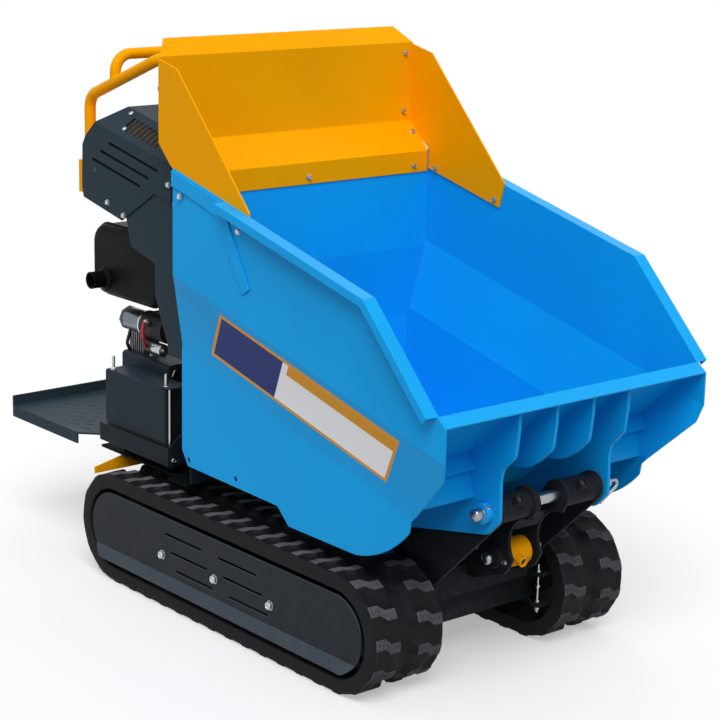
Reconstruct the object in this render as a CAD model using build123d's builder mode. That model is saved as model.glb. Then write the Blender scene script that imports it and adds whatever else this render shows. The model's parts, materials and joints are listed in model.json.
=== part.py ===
import os
from math import cos, hypot, pi, radians, sin, sqrt

from build123d import *

# A tracked site dumper with a forward tipping tub, in millimetres.
# X runs forward to the tub's lip, Y to the left and Z up from the ground, with the origin under the middle.

# Clearances
SEAT_GAP = 0.3
PIN_GAP = 0.3
MOVING_GAP = 6.0
FIT_GAP = 2.0

# Tracks
TRACK_X = 102.0
TRACK_Y = 260.0
TRACK_WIDTH = 180.0
AXLE_SPAN = 800.0
WHEEL_RADIUS = 92.0
BELT_THICKNESS = 22.0
LUG_HEIGHT = 14.0
LUG_COUNT = 38
LUG_LENGTH = 27.0
LUG_WIDTH = 76.0
LUG_STEP = 12.0
LUG_ROOT = 4.0
BELT_RADIUS = WHEEL_RADIUS + BELT_THICKNESS
TRACK_RADIUS = BELT_RADIUS + LUG_HEIGHT
AXLE_Z = TRACK_RADIUS
TRACK_TOP_Z = 2 * TRACK_RADIUS
REAR_AXLE_X = TRACK_X - AXLE_SPAN / 2
FRONT_AXLE_X = TRACK_X + AXLE_SPAN / 2
TRACK_OUTER_Y = TRACK_Y + TRACK_WIDTH / 2

# Wheels inside the tracks
WHEEL_WIDTH = 56.0
WHEEL_WEB = 20.0
WHEEL_RIM = 16.0
HUB_RADIUS = 30.0
AXLE_RADIUS = 16.0
ROLLER_RADIUS = 29.0
ROLLER_PIN_RADIUS = 8.0
ROLLER_COUNT = 4
ROLLER_END = 190.0
ROLLER_PITCH = (AXLE_SPAN - 2 * ROLLER_END) / (ROLLER_COUNT - 1)
ROLLER_Z = TRACK_RADIUS - WHEEL_RADIUS + SEAT_GAP + ROLLER_RADIUS

# Track frames
FRAME_PLATE = 6.0
FRAME_HALF_HEIGHT = 40.0
FRAME_EAR = 16.0
BEAM_WHEEL_GAP = 34.0
BEAM_HEIGHT = 50.0
BEAM_DROP = 8.0
FRAME_INNER_Y = TRACK_Y - WHEEL_WIDTH / 2 - MOVING_GAP - FRAME_PLATE
FRAME_OUTER_Y = TRACK_Y + WHEEL_WIDTH / 2 + MOVING_GAP + FRAME_PLATE
MOTOR_RADIUS = 40.0
MOTOR_FLANGE_RADIUS = 52.0
MOTOR_FLANGE = 14.0
MOTOR_LENGTH = 78.0

# Track covers
COVER_GAP = 9.0
COVER_RADIUS = WHEEL_RADIUS - COVER_GAP
COVER_PLATE = 4.0
COVER_FOLD_DROP = 49.0
COVER_FLARE = 14.0
COVER_FLARE_HEIGHT = 26.0
COVER_BOLT_DROP = 5.0
COVER_BOLT_PITCH = 195.0
COVER_BOLT_SHIFT = 4.0
COVER_POST_RADIUS = 11.0
COVER_SLOT_LENGTH = 133.0
COVER_SLOT_WIDTH = 6.0
COVER_SLOT_STEP_X = 20.0
COVER_SLOT_STEP_Z = 38.0
COVER_SLOT_RISE = 7.0
COVER_Y = TRACK_OUTER_Y

# Main frame
RAIL_TRACK_GAP = 38.0
RAIL_WIDTH = 40.0
RAIL_WALL = 5.0
RAIL_OUTER_Y = TRACK_Y - TRACK_WIDTH / 2 - RAIL_TRACK_GAP
RAIL_INNER_Y = RAIL_OUTER_Y - RAIL_WIDTH
RAIL_REAR_X = -452.0
RAIL_FRONT_X = 556.0
CROSS_LENGTH = 54.0
CROSS_WALL = 6.0
CROSS_BOTTOM_Z = AXLE_Z - FRAME_HALF_HEIGHT
CROSS_TOP_Z = AXLE_Z + 33.0
FRONT_CROSS_X = FRONT_AXLE_X + 12.0
REAR_CROSS_X = REAR_AXLE_X + 162.0
DECK_TRACK_GAP = 16.0
RAIL_TOP_Z = TRACK_TOP_Z + DECK_TRACK_GAP
TIE_PLATE = 8.0
TIE_TOP_Z = CROSS_TOP_Z + 65.0
BUFFER_X = 28.0
BUFFER_LENGTH = 46.0
BUFFER_GAP = 5.0

# Hinge of the tub and its bracket
HINGE_X = 721.0
HINGE_Z = RAIL_TOP_Z + 129.0
PIN_RADIUS = 12.5
PIN_STAND_OUT = 15.0
COLLAR_RADIUS = 21.0
COLLAR_LENGTH = 16.0
BRACKET_PLATE = 8.0
BRACKET_INNER_Y = 36.0
BRACKET_OUTER_Y = RAIL_OUTER_Y
BRACKET_TOP_RADIUS = 32.0
BRACKET_NOTCH_RADIUS = 62.0
BRACKET_REAR_X = RAIL_FRONT_X - 86.0
BRACKET_FOOT_HEIGHT = 76.0
BRACKET_FOOT_LENGTH = 20.0
BRACKET_FOOT_DEPTH = 26.0
HINGE_TUBE_RADIUS = 28.0
STUB_RADIUS = 11.0
STUB_LENGTH = 12.0
STUB_SHIFT = -11.0
PULL_ROD_RADIUS = 4.0
PULL_ROD_REACH = 52.0
PULL_ROD_DROP = 42.0
PULL_ROD_BEND = 9.0
PULL_ROD_END_GAP = 10.0

# Tipping cylinder
CYLINDER_X = 639.0
CYLINDER_Z = RAIL_TOP_Z - 7.0
ROD_EYE_X = 39.0
ROD_EYE_Z = RAIL_TOP_Z + 43.0
BARREL_RADIUS = 28.0
GLAND_RADIUS = 31.0
GLAND_LENGTH = 34.0
BARREL_LENGTH = 420.0
BARREL_EYE_RADIUS = 30.0
ROD_RADIUS = 15.0
ROD_EYE_RADIUS = 24.0
ROD_EYE_WIDTH = 40.0
ROD_BORE_DEPTH = 350.0
CYLINDER_BOSS_RADIUS = 40.0
CYLINDER_PIN_STAND_OUT = 26.0
CYLINDER_LENGTH = hypot(CYLINDER_X - ROD_EYE_X, ROD_EYE_Z - CYLINDER_Z)
LUG_PLATE = 8.0
LUG_RADIUS = 27.0

# Tub
TUB_PLATE = 4.0
WALL_UPPER_Y = 358.0
WALL_LOWER_Y = 323.0
FOLD_SLOPE = 0.24
UPPER_FOLD_Z = RAIL_TOP_Z + 480.0
LOWER_FOLD_Z = RAIL_TOP_Z + 318.0
TUB_REAR_X = -46.0
TUB_REAR_LOW_X = -62.0
TOP_CORNER_X = 608.5
TOP_CORNER_Z = RAIL_TOP_Z + 560.0
LIP_X = 794.5
LIP_Z = RAIL_TOP_Z + 371.0
LIP_FRONT_X = LIP_X + 23.5
LIP_FRONT_Z = LIP_Z - 18.0
FLOOR_Z = RAIL_TOP_Z + 97.0
FLOOR_UNDER_Z = FLOOR_Z - TUB_PLATE
FLOOR_FRONT_X = LIP_X - (LIP_Z - FLOOR_Z)
SLOPE_DROP = TUB_PLATE * sqrt(2)
SKIRT_LOW_Z = RAIL_TOP_Z + 23.0
SKIRT_REAR_Z = SKIRT_LOW_Z + 36.0
SKIRT_HOLE_RADIUS = 5.5
SKIRT_HOLE_X = -37.0
SKIRT_HOLE_PITCH = 170.0
SKIRT_HOLE_Z = SKIRT_REAR_Z + 19.0
FLANGE_WIDTH = 27.0
FLANGE_LIP = 18.0
FLANGE_REAR_X = 137.0
RIB_PLATE = 8.0
RIB_BEND = 22.0
CHANNEL_CLEARANCE = 64.0
KEEL_Y = BRACKET_OUTER_Y + BRACKET_PLATE + MOVING_GAP + RIB_PLATE / 2
LIP_RIB_Y = 50.0
KEEL_LOW_Z = RAIL_TOP_Z + 38.0
KEEL_REAR_X = 20.0
BACK_WALL_TOP_Z = TOP_CORNER_Z + 134.0

# Extension on the tub's back
EXTENSION_SHEET = 3.0
EXTENSION_BACK_X = TUB_REAR_X - 57.0
EXTENSION_TOP_Z = BACK_WALL_TOP_Z + 282.0
EXTENSION_FOLD = 34.0
WING_PLATE = 4.0
WING_OUTER_Y = WALL_UPPER_Y - TUB_PLATE

# Rear deck and platform
DECK_REAR_X = RAIL_REAR_X - 4.0
DECK_FRONT_X = TUB_REAR_LOW_X - 14.0
DECK_HALF_WIDTH = 300.0
DECK_PLATE = 6.0
DECK_NOTCH = 24.0
DECK_TOP_Z = RAIL_TOP_Z + DECK_PLATE
GUARD_SHEET = 3.0
GUARD_X = REAR_AXLE_X - 82.0
GUARD_OUTER_Y = TRACK_OUTER_Y - 5.0
GUARD_LOW_Z = TRACK_TOP_Z - 18.0
GUARD_SLOPE_DROP = 18.0
GUARD_SLOPE_WIDTH = 86.0
PIVOT_X = DECK_REAR_X - 18.0
PIVOT_Z = RAIL_TOP_Z + 10.0
PIVOT_ROD_RADIUS = 6.0
KNUCKLE_RADIUS = 11.0
KNUCKLE_NEAR_Y = 60.0
KNUCKLE_LENGTH = 80.0
HINGE_EAR = 10.0
PLATFORM_LENGTH = 334.0
PLATFORM_FRONT_X = PIVOT_X - 10.0
PLATFORM_REAR_X = PLATFORM_FRONT_X - PLATFORM_LENGTH
PLATFORM_PLATE = 5.0
PLATFORM_TOP_Z = PIVOT_Z + 13.0
PLATFORM_HALF_WIDTH = DECK_HALF_WIDTH
PLATFORM_CORNER = 40.0
PLATFORM_SKIRT = 28.0
PLATFORM_EDGE = 25.0

# Engine bay
TRAY_SHEET = 4.0
TRAY_FLOOR = 28.0
TRAY_FOOT_INSET = 40.0
TRAY_REAR_X = -425.0
TRAY_FRONT_X = -148.0
TRAY_RIGHT_Y = -DECK_HALF_WIDTH
TRAY_WIDTH = 188.0
TRAY_LEFT_Y = TRAY_RIGHT_Y + TRAY_WIDTH
TRAY_LIP = 66.0
TANK_REAR_X = -440.0
TANK_FRONT_X = -165.0
TANK_INSET = 17.0
TANK_WIDTH = 148.0
TANK_LEFT_Y = DECK_HALF_WIDTH - TANK_INSET
TANK_RIGHT_Y = TANK_LEFT_Y - TANK_WIDTH
TANK_HEIGHT = 302.0
TANK_BEND = 24.0
CAP_RADIUS = 30.0
CAP_HEIGHT = 22.0
ENGINE_TRAY_GAP = 7.0
ENGINE_TANK_GAP = 15.0
ENGINE_REAR_X = -330.0
ENGINE_FRONT_X = -110.0
ENGINE_RIGHT_Y = TRAY_LEFT_Y + ENGINE_TRAY_GAP
ENGINE_LEFT_Y = TANK_RIGHT_Y - ENGINE_TANK_GAP
CRANKCASE_TOP_Z = DECK_TOP_Z + 262.0
CYLINDER_HEAD_TOP_Z = CRANKCASE_TOP_Z + 160.0
FIN_COUNT = 6
FIN_PITCH = 24.0
FIN_THICKNESS = 6.0
FIN_DEPTH = 12.0
BELL_PLATE = 8.0
STARTER_REACH = 110.0
STARTER_Y = ENGINE_RIGHT_Y - STARTER_REACH
STARTER_Z = DECK_TOP_Z + 302.0
STARTER_RADIUS = 27.0
STARTER_FLANGE = 4.0
STARTER_RIM = 8.0
STARTER_NOSE = 72.0
STARTER_LENGTH = 93.0
MUFFLER_REAR_X = -509.0
MUFFLER_FRONT_X = -240.0
MUFFLER_INSET = 38.0
MUFFLER_RIGHT_Y = -DECK_HALF_WIDTH + MUFFLER_INSET
MUFFLER_LOW_Z = DECK_TOP_Z + 357.0
MUFFLER_HEIGHT = 162.0
MUFFLER_BEND = 46.0
MUFFLER_ROUND = 14.0
OUTLET_RADIUS = 19.5
OUTLET_WALL = 3.0
OUTLET_LENGTH = 38.0
BATTERY_LENGTH = 238.0
BATTERY_WIDTH = 66.0
BATTERY_HEIGHT = 163.0
BATTERY_REAR_X = -412.0
COVER_SHEET = 3.0
COVER_DEPTH = 122.0
BATTERY_COVER_BEND = 6.0
BOX_BEND = 10.0
BOX_REAR_X = -455.0
BOX_FRONT_X = -267.0
BOX_WIDTH = 98.0
BOX_HEIGHT = 191.0

# Hood, column and controls
HOOD_INSET = 6.0
HOOD_SHOULDER = 64.0
HOOD_Y = DECK_HALF_WIDTH - HOOD_INSET
HOOD_RIDGE_Y = HOOD_Y - HOOD_SHOULDER
HOOD_SHEET = 4.0
HOOD_SLOPE = 0.2
HOOD_FRONT_X = -145.0
HOOD_FOLD_Z = DECK_TOP_Z + 700.0
HOOD_RIDGE_Z = HOOD_FOLD_Z + 42.0
HOOD_LENGTH = 353.0
HOOD_SLOT_LENGTH = 190.0
HOOD_SLOT_WIDTH = 7.0
HOOD_SLOT_COUNT = 3
VENT_COUNT = 9
VENT_PITCH = 16.0
VENT_WIDTH = 8.0
PANEL_SHEET = 3.0
COLUMN_FRONT_X = DECK_FRONT_X
RIGHT_COLUMN_FOOT = 276.0
CONSOLE_DEPTH = 22.0
CONSOLE_HEIGHT = 74.0
LEVER_COUNT = 4
LEVER_PITCH = 64.0
LEVER_RADIUS = 5.0
LEVER_LENGTH = 66.0
KNOB_RADIUS = 13.0
HANDLE_INSET = 47.0
HANDLE_Y = HOOD_Y - HANDLE_INSET
HANDLE_RADIUS = 13.0
HANDLE_BEND = 40.0
HANDLE_SLOPE = 0.39
HANDLE_FRONT_X = -236.0
HOOP_X = -428.0
HOOP_RISE = 62.0


def lying(side, near, far):
    """The limits of Y for two distances from the middle on one side."""
    return min(side * near, side * far), max(side * near, side * far)


def moved(points, x, z):
    """An outline set off by x and z."""
    return [(px + x, pz + z) for px, pz in points]


def sheet_outline(points, thickness):
    """A bent sheet's outline: the polyline, and the same line set off to its left by the thickness."""
    other_face = []
    for i, (x, z) in enumerate(points):
        normals = []
        for a, b in ((i - 1, i), (i, i + 1)):
            if a >= 0 and b < len(points):
                run = points[b][0] - points[a][0]
                rise = points[b][1] - points[a][1]
                length = hypot(run, rise)
                normals.append((-rise / length, run / length))
        nx = sum(n[0] for n in normals) / len(normals)
        nz = sum(n[1] for n in normals) / len(normals)
        scale = thickness / (nx * nx + nz * nz)
        other_face.append((x + nx * scale, z + nz * scale))
    return list(points) + other_face[::-1]


def side_plate(points, y_low, y_high, mode=Mode.ADD):
    """Adds a plate to the open part: an outline in X and Z between two values of Y."""
    with BuildSketch(Plane.XZ.offset(-y_high), mode=Mode.PRIVATE) as outline:
        Polygon(*points, align=None)
    extrude(outline.sketch, amount=y_high - y_low, mode=mode)


def side_bar(x, z, radius, y_low, y_high, mode=Mode.ADD):
    """Adds a round bar along Y to the open part."""
    with BuildSketch(Plane.XZ.offset(-y_high), mode=Mode.PRIVATE) as round_end:
        with Locations((x, z)):
            Circle(radius)
    extrude(round_end.sketch, amount=y_high - y_low, mode=mode)


def end_plate(points, x_low, x_high, mode=Mode.ADD):
    """Adds a plate to the open part: an outline in Y and Z between two values of X."""
    with BuildSketch(Plane.YZ.offset(x_low), mode=Mode.PRIVATE) as outline:
        Polygon(*points, align=None)
    extrude(outline.sketch, amount=x_high - x_low, mode=mode)


def block(x_low, x_high, y_low, y_high, z_low, z_high, mode=Mode.ADD):
    """Adds a box to the open part from its limits."""
    with Locations(((x_low + x_high) / 2, (y_low + y_high) / 2, (z_low + z_high) / 2)):
        Box(x_high - x_low, y_high - y_low, z_high - z_low, mode=mode)


def stadium(radius, y_low, y_high, mode=Mode.ADD):
    """Adds a round-ended plate around both axles of a track to the open part."""
    with BuildSketch(Plane.XZ.offset(-y_high), mode=Mode.PRIVATE) as outline:
        with Locations((TRACK_X, AXLE_Z)):
            SlotCenterToCenter(AXLE_SPAN, 2 * radius)
    extrude(outline.sketch, amount=y_high - y_low, mode=mode)


def skewed(points, x_low, x_high, slope, x_zero, mode=Mode.ADD):
    """Adds an outline in Y and Z, drawn at x_zero, carried along X on a slope that falls forwards."""
    drop = -slope * (x_low - x_zero)
    with BuildSketch(Plane.YZ.offset(x_low), mode=Mode.PRIVATE) as outline:
        Polygon(*[(y, z + drop) for y, z in points], align=None)
    run = Vector(1, 0, -slope)
    extrude(outline.sketch, amount=(x_high - x_low) * run.length, dir=run.normalized(), mode=mode)


def stub(x, y, z, direction, reach):
    """Adds a short greasing stub to the open part, from a bar's axis out to its reach."""
    with BuildSketch(Plane((x, y, z), z_dir=direction), mode=Mode.PRIVATE) as round_end:
        Circle(STUB_RADIUS)
    extrude(round_end.sketch, amount=reach)


# Tracks: belts with two staggered rows of slanted lugs

LUG_PITCH = (2 * AXLE_SPAN + 2 * pi * BELT_RADIUS) / LUG_COUNT


def belt_plane(distance, y):
    """The plane on the belt at a distance along it, from the rear end of the top run forwards."""
    arc = pi * BELT_RADIUS
    run, along = divmod(distance % (2 * AXLE_SPAN + 2 * arc), AXLE_SPAN + arc)
    centre_x = REAR_AXLE_X if run else FRONT_AXLE_X
    turn = pi * run + max(0.0, along - AXLE_SPAN) / BELT_RADIUS
    back = max(0.0, AXLE_SPAN - along)
    root = BELT_RADIUS - LUG_ROOT
    x = centre_x - back * cos(turn) + root * sin(turn)
    z = AXLE_Z + back * sin(turn) + root * cos(turn)
    return Plane((x, y, z), x_dir=(cos(turn), 0, -sin(turn)), z_dir=(sin(turn), 0, cos(turn)))


def lug_outline():
    """A lug's slanted outline, along the belt and across it."""
    half, step, width = LUG_LENGTH / 2, LUG_STEP / 2, LUG_WIDTH / 2
    front = [(half + step, -width), (half - step, width)]
    return front + [(-x, -y) for x, y in front]


tracks = {}
for side, name in ((-1, "right"), (1, "left")):
    with BuildPart() as track:
        low, high = lying(side, TRACK_OUTER_Y - TRACK_WIDTH, TRACK_OUTER_Y)
        for row, phase in ((-1, 0.0), (1, 0.5)):
            row_y = side * TRACK_Y + row * (TRACK_WIDTH - LUG_WIDTH) / 2
            planes = [belt_plane((i + phase) * LUG_PITCH, row_y) for i in range(LUG_COUNT)]
            with BuildSketch(*planes) as lugs:
                Polygon(*lug_outline(), align=None)
            extrude(amount=LUG_ROOT + LUG_HEIGHT + LUG_ROOT)
        stadium(TRACK_RADIUS, low, high, Mode.INTERSECT)
        stadium(BELT_RADIUS, low, high)
        stadium(WHEEL_RADIUS, low, high, Mode.SUBTRACT)
    tracks[name + "_track"] = track

# Wheels that the tracks run on
wheels = {}
roller_places = [REAR_AXLE_X + ROLLER_END + i * ROLLER_PITCH for i in range(ROLLER_COUNT)]
for side, name in ((-1, "right"), (1, "left")):
    inner, outer = lying(side, TRACK_Y - WHEEL_WIDTH / 2, TRACK_Y + WHEEL_WIDTH / 2)
    web_low, web_high = lying(side, TRACK_Y - WHEEL_WEB / 2, TRACK_Y + WHEEL_WEB / 2)
    axle_low, axle_high = lying(side, FRAME_INNER_Y, FRAME_OUTER_Y)
    for kind, x in (("sprocket", REAR_AXLE_X), ("idler", FRONT_AXLE_X)):
        with BuildPart() as wheel:
            side_bar(x, AXLE_Z, WHEEL_RADIUS - SEAT_GAP, inner, outer)
            side_bar(x, AXLE_Z, WHEEL_RADIUS - WHEEL_RIM, inner, web_low, Mode.SUBTRACT)
            side_bar(x, AXLE_Z, WHEEL_RADIUS - WHEEL_RIM, web_high, outer, Mode.SUBTRACT)
            side_bar(x, AXLE_Z, HUB_RADIUS, inner, outer)
            side_bar(x, AXLE_Z, AXLE_RADIUS, axle_low, axle_high)
        wheels[name + "_" + kind] = wheel
    with BuildPart() as rollers:
        for x in roller_places:
            side_bar(x, ROLLER_Z, ROLLER_RADIUS, inner, outer)
            side_bar(x, ROLLER_Z, ROLLER_PIN_RADIUS, axle_low, axle_high)
    wheels[name + "_rollers"] = rollers

# Track frames: two side plates with ears for the rollers and a beam between them, and the drive motors
frames = {}
for side, name in ((-1, "right"), (1, "left")):
    with BuildPart() as track_frame:
        for near in (FRAME_INNER_Y, FRAME_OUTER_Y - FRAME_PLATE):
            low, high = lying(side, near, near + FRAME_PLATE)
            stadium(FRAME_HALF_HEIGHT, low, high)
            for x in roller_places:
                side_bar(x, ROLLER_Z, FRAME_EAR, low, high)
                block(x - FRAME_EAR, x + FRAME_EAR, low, high, ROLLER_Z, AXLE_Z)
                side_bar(x, ROLLER_Z, ROLLER_PIN_RADIUS + PIN_GAP, low, high, Mode.SUBTRACT)
            for x in (REAR_AXLE_X, FRONT_AXLE_X):
                side_bar(x, AXLE_Z, AXLE_RADIUS + PIN_GAP, low, high, Mode.SUBTRACT)
        low, high = lying(side, FRAME_INNER_Y + FRAME_PLATE, FRAME_OUTER_Y - FRAME_PLATE)
        half = AXLE_SPAN / 2 - WHEEL_RADIUS - BEAM_WHEEL_GAP
        beam_low = AXLE_Z - BEAM_DROP
        block(TRACK_X - half, TRACK_X + half, low, high, beam_low, beam_low + BEAM_HEIGHT)
    frames[name + "_track_frame"] = track_frame
    with BuildPart() as motor:
        low, high = lying(side, FRAME_INNER_Y - MOTOR_LENGTH, FRAME_INNER_Y)
        side_bar(REAR_AXLE_X, AXLE_Z, MOTOR_RADIUS, low, high)
        low, high = lying(side, FRAME_INNER_Y - MOTOR_FLANGE, FRAME_INNER_Y)
        side_bar(REAR_AXLE_X, AXLE_Z, MOTOR_FLANGE_RADIUS, low, high)
    frames[name + "_drive_motor"] = motor

# Track covers: a sheet with a flared lower edge, two groups of slots and three posts to the track frame
covers = {}
for side, name in ((-1, "right"), (1, "left")):
    with BuildPart() as cover:
        flare_z = AXLE_Z - COVER_FOLD_DROP
        cover_line = [
            (side * COVER_Y, TRACK_TOP_Z),
            (side * COVER_Y, flare_z),
            (side * (COVER_Y + COVER_FLARE), flare_z - COVER_FLARE_HEIGHT),
        ]
        end_plate(
            sheet_outline(cover_line, -side * COVER_PLATE),
            REAR_AXLE_X - COVER_RADIUS,
            FRONT_AXLE_X + COVER_RADIUS,
        )
        low, high = lying(side, FRAME_OUTER_Y, TRACK_OUTER_Y + COVER_FLARE)
        stadium(COVER_RADIUS, low, high, Mode.INTERSECT)
        bolt_x = TRACK_X - COVER_BOLT_SHIFT
        low, high = lying(side, COVER_Y - COVER_PLATE, COVER_Y)
        with BuildSketch(Plane.XZ.offset(-high), mode=Mode.PRIVATE) as slots:
            for group in (-0.5, 0.5):
                for row in (-1, 0, 1):
                    slot_x = bolt_x + group * COVER_BOLT_PITCH - row * COVER_SLOT_STEP_X
                    with Locations((slot_x, AXLE_Z + COVER_SLOT_RISE + row * COVER_SLOT_STEP_Z)):
                        Rectangle(COVER_SLOT_LENGTH, COVER_SLOT_WIDTH)
        extrude(slots.sketch, amount=COVER_PLATE, mode=Mode.SUBTRACT)
        low, high = lying(side, FRAME_OUTER_Y, COVER_Y - COVER_PLATE)
        for i in (-1, 0, 1):
            post_x = bolt_x + i * COVER_BOLT_PITCH
            side_bar(post_x, AXLE_Z - COVER_BOLT_DROP, COVER_POST_RADIUS, low, high)
    covers[name + "_track_cover"] = cover

# Crossmembers between the track frames
with BuildPart() as crossmembers:
    for front in (FRONT_CROSS_X, REAR_CROSS_X):
        for wall, mode in ((0, Mode.ADD), (CROSS_WALL, Mode.SUBTRACT)):
            block(
                front - CROSS_LENGTH + wall,
                front - wall,
                -FRAME_INNER_Y,
                FRAME_INNER_Y,
                CROSS_BOTTOM_Z + wall,
                CROSS_TOP_Z - wall,
                mode,
            )

# Main frame: two hollow rails, tie plates between them and the tub's buffers
with BuildPart() as main_frame:
    for side in (-1, 1):
        low, high = lying(side, RAIL_INNER_Y, RAIL_OUTER_Y)
        block(RAIL_REAR_X, RAIL_FRONT_X, low, high, CROSS_TOP_Z, RAIL_TOP_Z)
        low, high = lying(side, RAIL_INNER_Y + RAIL_WALL, RAIL_OUTER_Y - RAIL_WALL)
        hollow_low, hollow_top = CROSS_TOP_Z + RAIL_WALL, RAIL_TOP_Z - RAIL_WALL
        block(RAIL_REAR_X, RAIL_FRONT_X - RAIL_WALL, low, high, hollow_low, hollow_top, Mode.SUBTRACT)
        block(BUFFER_X, BUFFER_X + BUFFER_LENGTH, low, high, RAIL_TOP_Z, FLOOR_UNDER_Z - BUFFER_GAP)
    for x in (RAIL_FRONT_X - TIE_PLATE, REAR_CROSS_X, RAIL_REAR_X):
        block(x, x + TIE_PLATE, -RAIL_INNER_Y, RAIL_INNER_Y, CROSS_TOP_Z, TIE_TOP_Z)

# Hinge tower: inner plates with the cylinder pin, outer plates on the rails, tubes for the hinge pin
with BuildPart() as hinge_tower:
    for side in (-1, 1):
        low, high = lying(side, BRACKET_INNER_Y, BRACKET_INNER_Y + BRACKET_PLATE)
        with BuildSketch(Plane.XZ.offset(-high), mode=Mode.PRIVATE) as inner_plate:
            with Locations((HINGE_X, HINGE_Z)):
                Circle(BRACKET_TOP_RADIUS)
            with Locations((CYLINDER_X, CYLINDER_Z)):
                Circle(CYLINDER_BOSS_RADIUS)
            with Locations((RAIL_FRONT_X + BRACKET_FOOT_LENGTH / 2, TIE_TOP_Z - BRACKET_FOOT_DEPTH / 2)):
                Rectangle(BRACKET_FOOT_LENGTH, BRACKET_FOOT_DEPTH)
            make_hull()
            notch_x = CYLINDER_X + CYLINDER_BOSS_RADIUS + BRACKET_NOTCH_RADIUS - 6
            with Locations((notch_x, (HINGE_Z - BRACKET_TOP_RADIUS + CYLINDER_Z) / 2 - 12)):
                Circle(BRACKET_NOTCH_RADIUS, mode=Mode.SUBTRACT)
        extrude(inner_plate.sketch, amount=BRACKET_PLATE)
        low, high = lying(side, BRACKET_OUTER_Y, BRACKET_OUTER_Y + BRACKET_PLATE)
        with BuildSketch(Plane.XZ.offset(-high), mode=Mode.PRIVATE) as outer_plate:
            with Locations((HINGE_X, HINGE_Z)):
                Circle(BRACKET_TOP_RADIUS)
            with Locations(((BRACKET_REAR_X + RAIL_FRONT_X) / 2, RAIL_TOP_Z - BRACKET_FOOT_HEIGHT / 2)):
                Rectangle(RAIL_FRONT_X - BRACKET_REAR_X, BRACKET_FOOT_HEIGHT)
            make_hull()
        extrude(outer_plate.sketch, amount=BRACKET_PLATE)
        low, high = lying(side, BRACKET_INNER_Y + BRACKET_PLATE, BRACKET_OUTER_Y)
        side_bar(HINGE_X, HINGE_Z, HINGE_TUBE_RADIUS, low, high)
        stub(HINGE_X, (low + high) / 2 + STUB_SHIFT, HINGE_Z, (1, 0, 0.75), HINGE_TUBE_RADIUS + STUB_LENGTH)
    web = moved([(-24, -38), (-46, -74), (-53, -69), (-31, -33)], HINGE_X, HINGE_Z)
    side_plate(web, -BRACKET_INNER_Y, BRACKET_INNER_Y)
    bore_end = BRACKET_OUTER_Y + BRACKET_PLATE
    side_bar(HINGE_X, HINGE_Z, PIN_RADIUS + PIN_GAP, -bore_end, bore_end, Mode.SUBTRACT)
    pin_end = BRACKET_INNER_Y + BRACKET_PLATE + CYLINDER_PIN_STAND_OUT
    side_bar(CYLINDER_X, CYLINDER_Z, PIN_RADIUS, -pin_end, pin_end)

# Rear deck, and the guards over the rear ends of the tracks
with BuildPart() as engine_deck:
    block(DECK_REAR_X, DECK_FRONT_X, -DECK_HALF_WIDTH, DECK_HALF_WIDTH, RAIL_TOP_Z, DECK_TOP_Z)
    notch_y = TRAY_RIGHT_Y + DECK_NOTCH
    block(DECK_REAR_X, TRAY_FRONT_X, -DECK_HALF_WIDTH, notch_y, RAIL_TOP_Z, DECK_TOP_Z, Mode.SUBTRACT)

with BuildPart() as rear_guard:
    for side in (-1, 1):
        guard_outline = [
            (side * (RAIL_OUTER_Y + FIT_GAP), RAIL_TOP_Z),
            (side * (RAIL_OUTER_Y + FIT_GAP), GUARD_LOW_Z),
            (side * GUARD_OUTER_Y, GUARD_LOW_Z),
            (side * GUARD_OUTER_Y, RAIL_TOP_Z - GUARD_SLOPE_DROP),
            (side * (GUARD_OUTER_Y - GUARD_SLOPE_WIDTH), RAIL_TOP_Z),
        ]
        end_plate(guard_outline, GUARD_X, GUARD_X + GUARD_SHEET)

# Rear platform with its upturned edge and knuckles, and the rod it folds on
with BuildPart() as platform:
    plate_low = PLATFORM_TOP_Z - PLATFORM_PLATE
    half = PLATFORM_HALF_WIDTH
    with BuildSketch(Plane.XY.offset(plate_low)):
        Polygon(
            (PLATFORM_REAR_X, -half),
            (PLATFORM_FRONT_X - PLATFORM_CORNER, -half),
            (PLATFORM_FRONT_X, -half + PLATFORM_CORNER),
            (PLATFORM_FRONT_X, half - PLATFORM_CORNER),
            (PLATFORM_FRONT_X - PLATFORM_CORNER, half),
            (PLATFORM_REAR_X, half),
            align=None,
        )
    extrude(amount=PLATFORM_PLATE)
    edge_end = PLATFORM_REAR_X + PLATFORM_PLATE
    block(PLATFORM_REAR_X, edge_end, -half, half, plate_low, PLATFORM_TOP_Z + PLATFORM_EDGE)
    skirt_end = PLATFORM_FRONT_X - PLATFORM_CORNER
    for side in (-1, 1):
        low, high = lying(side, half - PLATFORM_PLATE, half)
        block(PLATFORM_REAR_X, skirt_end, low, high, PLATFORM_TOP_Z - PLATFORM_SKIRT, plate_low)
        low, high = lying(side, KNUCKLE_NEAR_Y, KNUCKLE_NEAR_Y + KNUCKLE_LENGTH)
        side_bar(PIVOT_X, PIVOT_Z, KNUCKLE_RADIUS, low, high)
        block(PLATFORM_FRONT_X - 20, PIVOT_X, low, high, PIVOT_Z + 3, plate_low)
        side_bar(PIVOT_X, PIVOT_Z, PIVOT_ROD_RADIUS + PIN_GAP, low, high, Mode.SUBTRACT)

with BuildPart() as platform_hinge_rod:
    ear_far = KNUCKLE_NEAR_Y + KNUCKLE_LENGTH + MOVING_GAP + HINGE_EAR
    ear_near = KNUCKLE_NEAR_Y - MOVING_GAP - HINGE_EAR
    side_bar(PIVOT_X, PIVOT_Z, PIVOT_ROD_RADIUS, -ear_far, ear_far)
    for side in (-1, 1):
        for start in (ear_near, ear_far - HINGE_EAR):
            low, high = lying(side, start, start + HINGE_EAR)
            side_bar(PIVOT_X, PIVOT_Z, KNUCKLE_RADIUS, low, high)
            block(PIVOT_X, DECK_REAR_X, low, high, RAIL_TOP_Z, DECK_TOP_Z)

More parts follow.
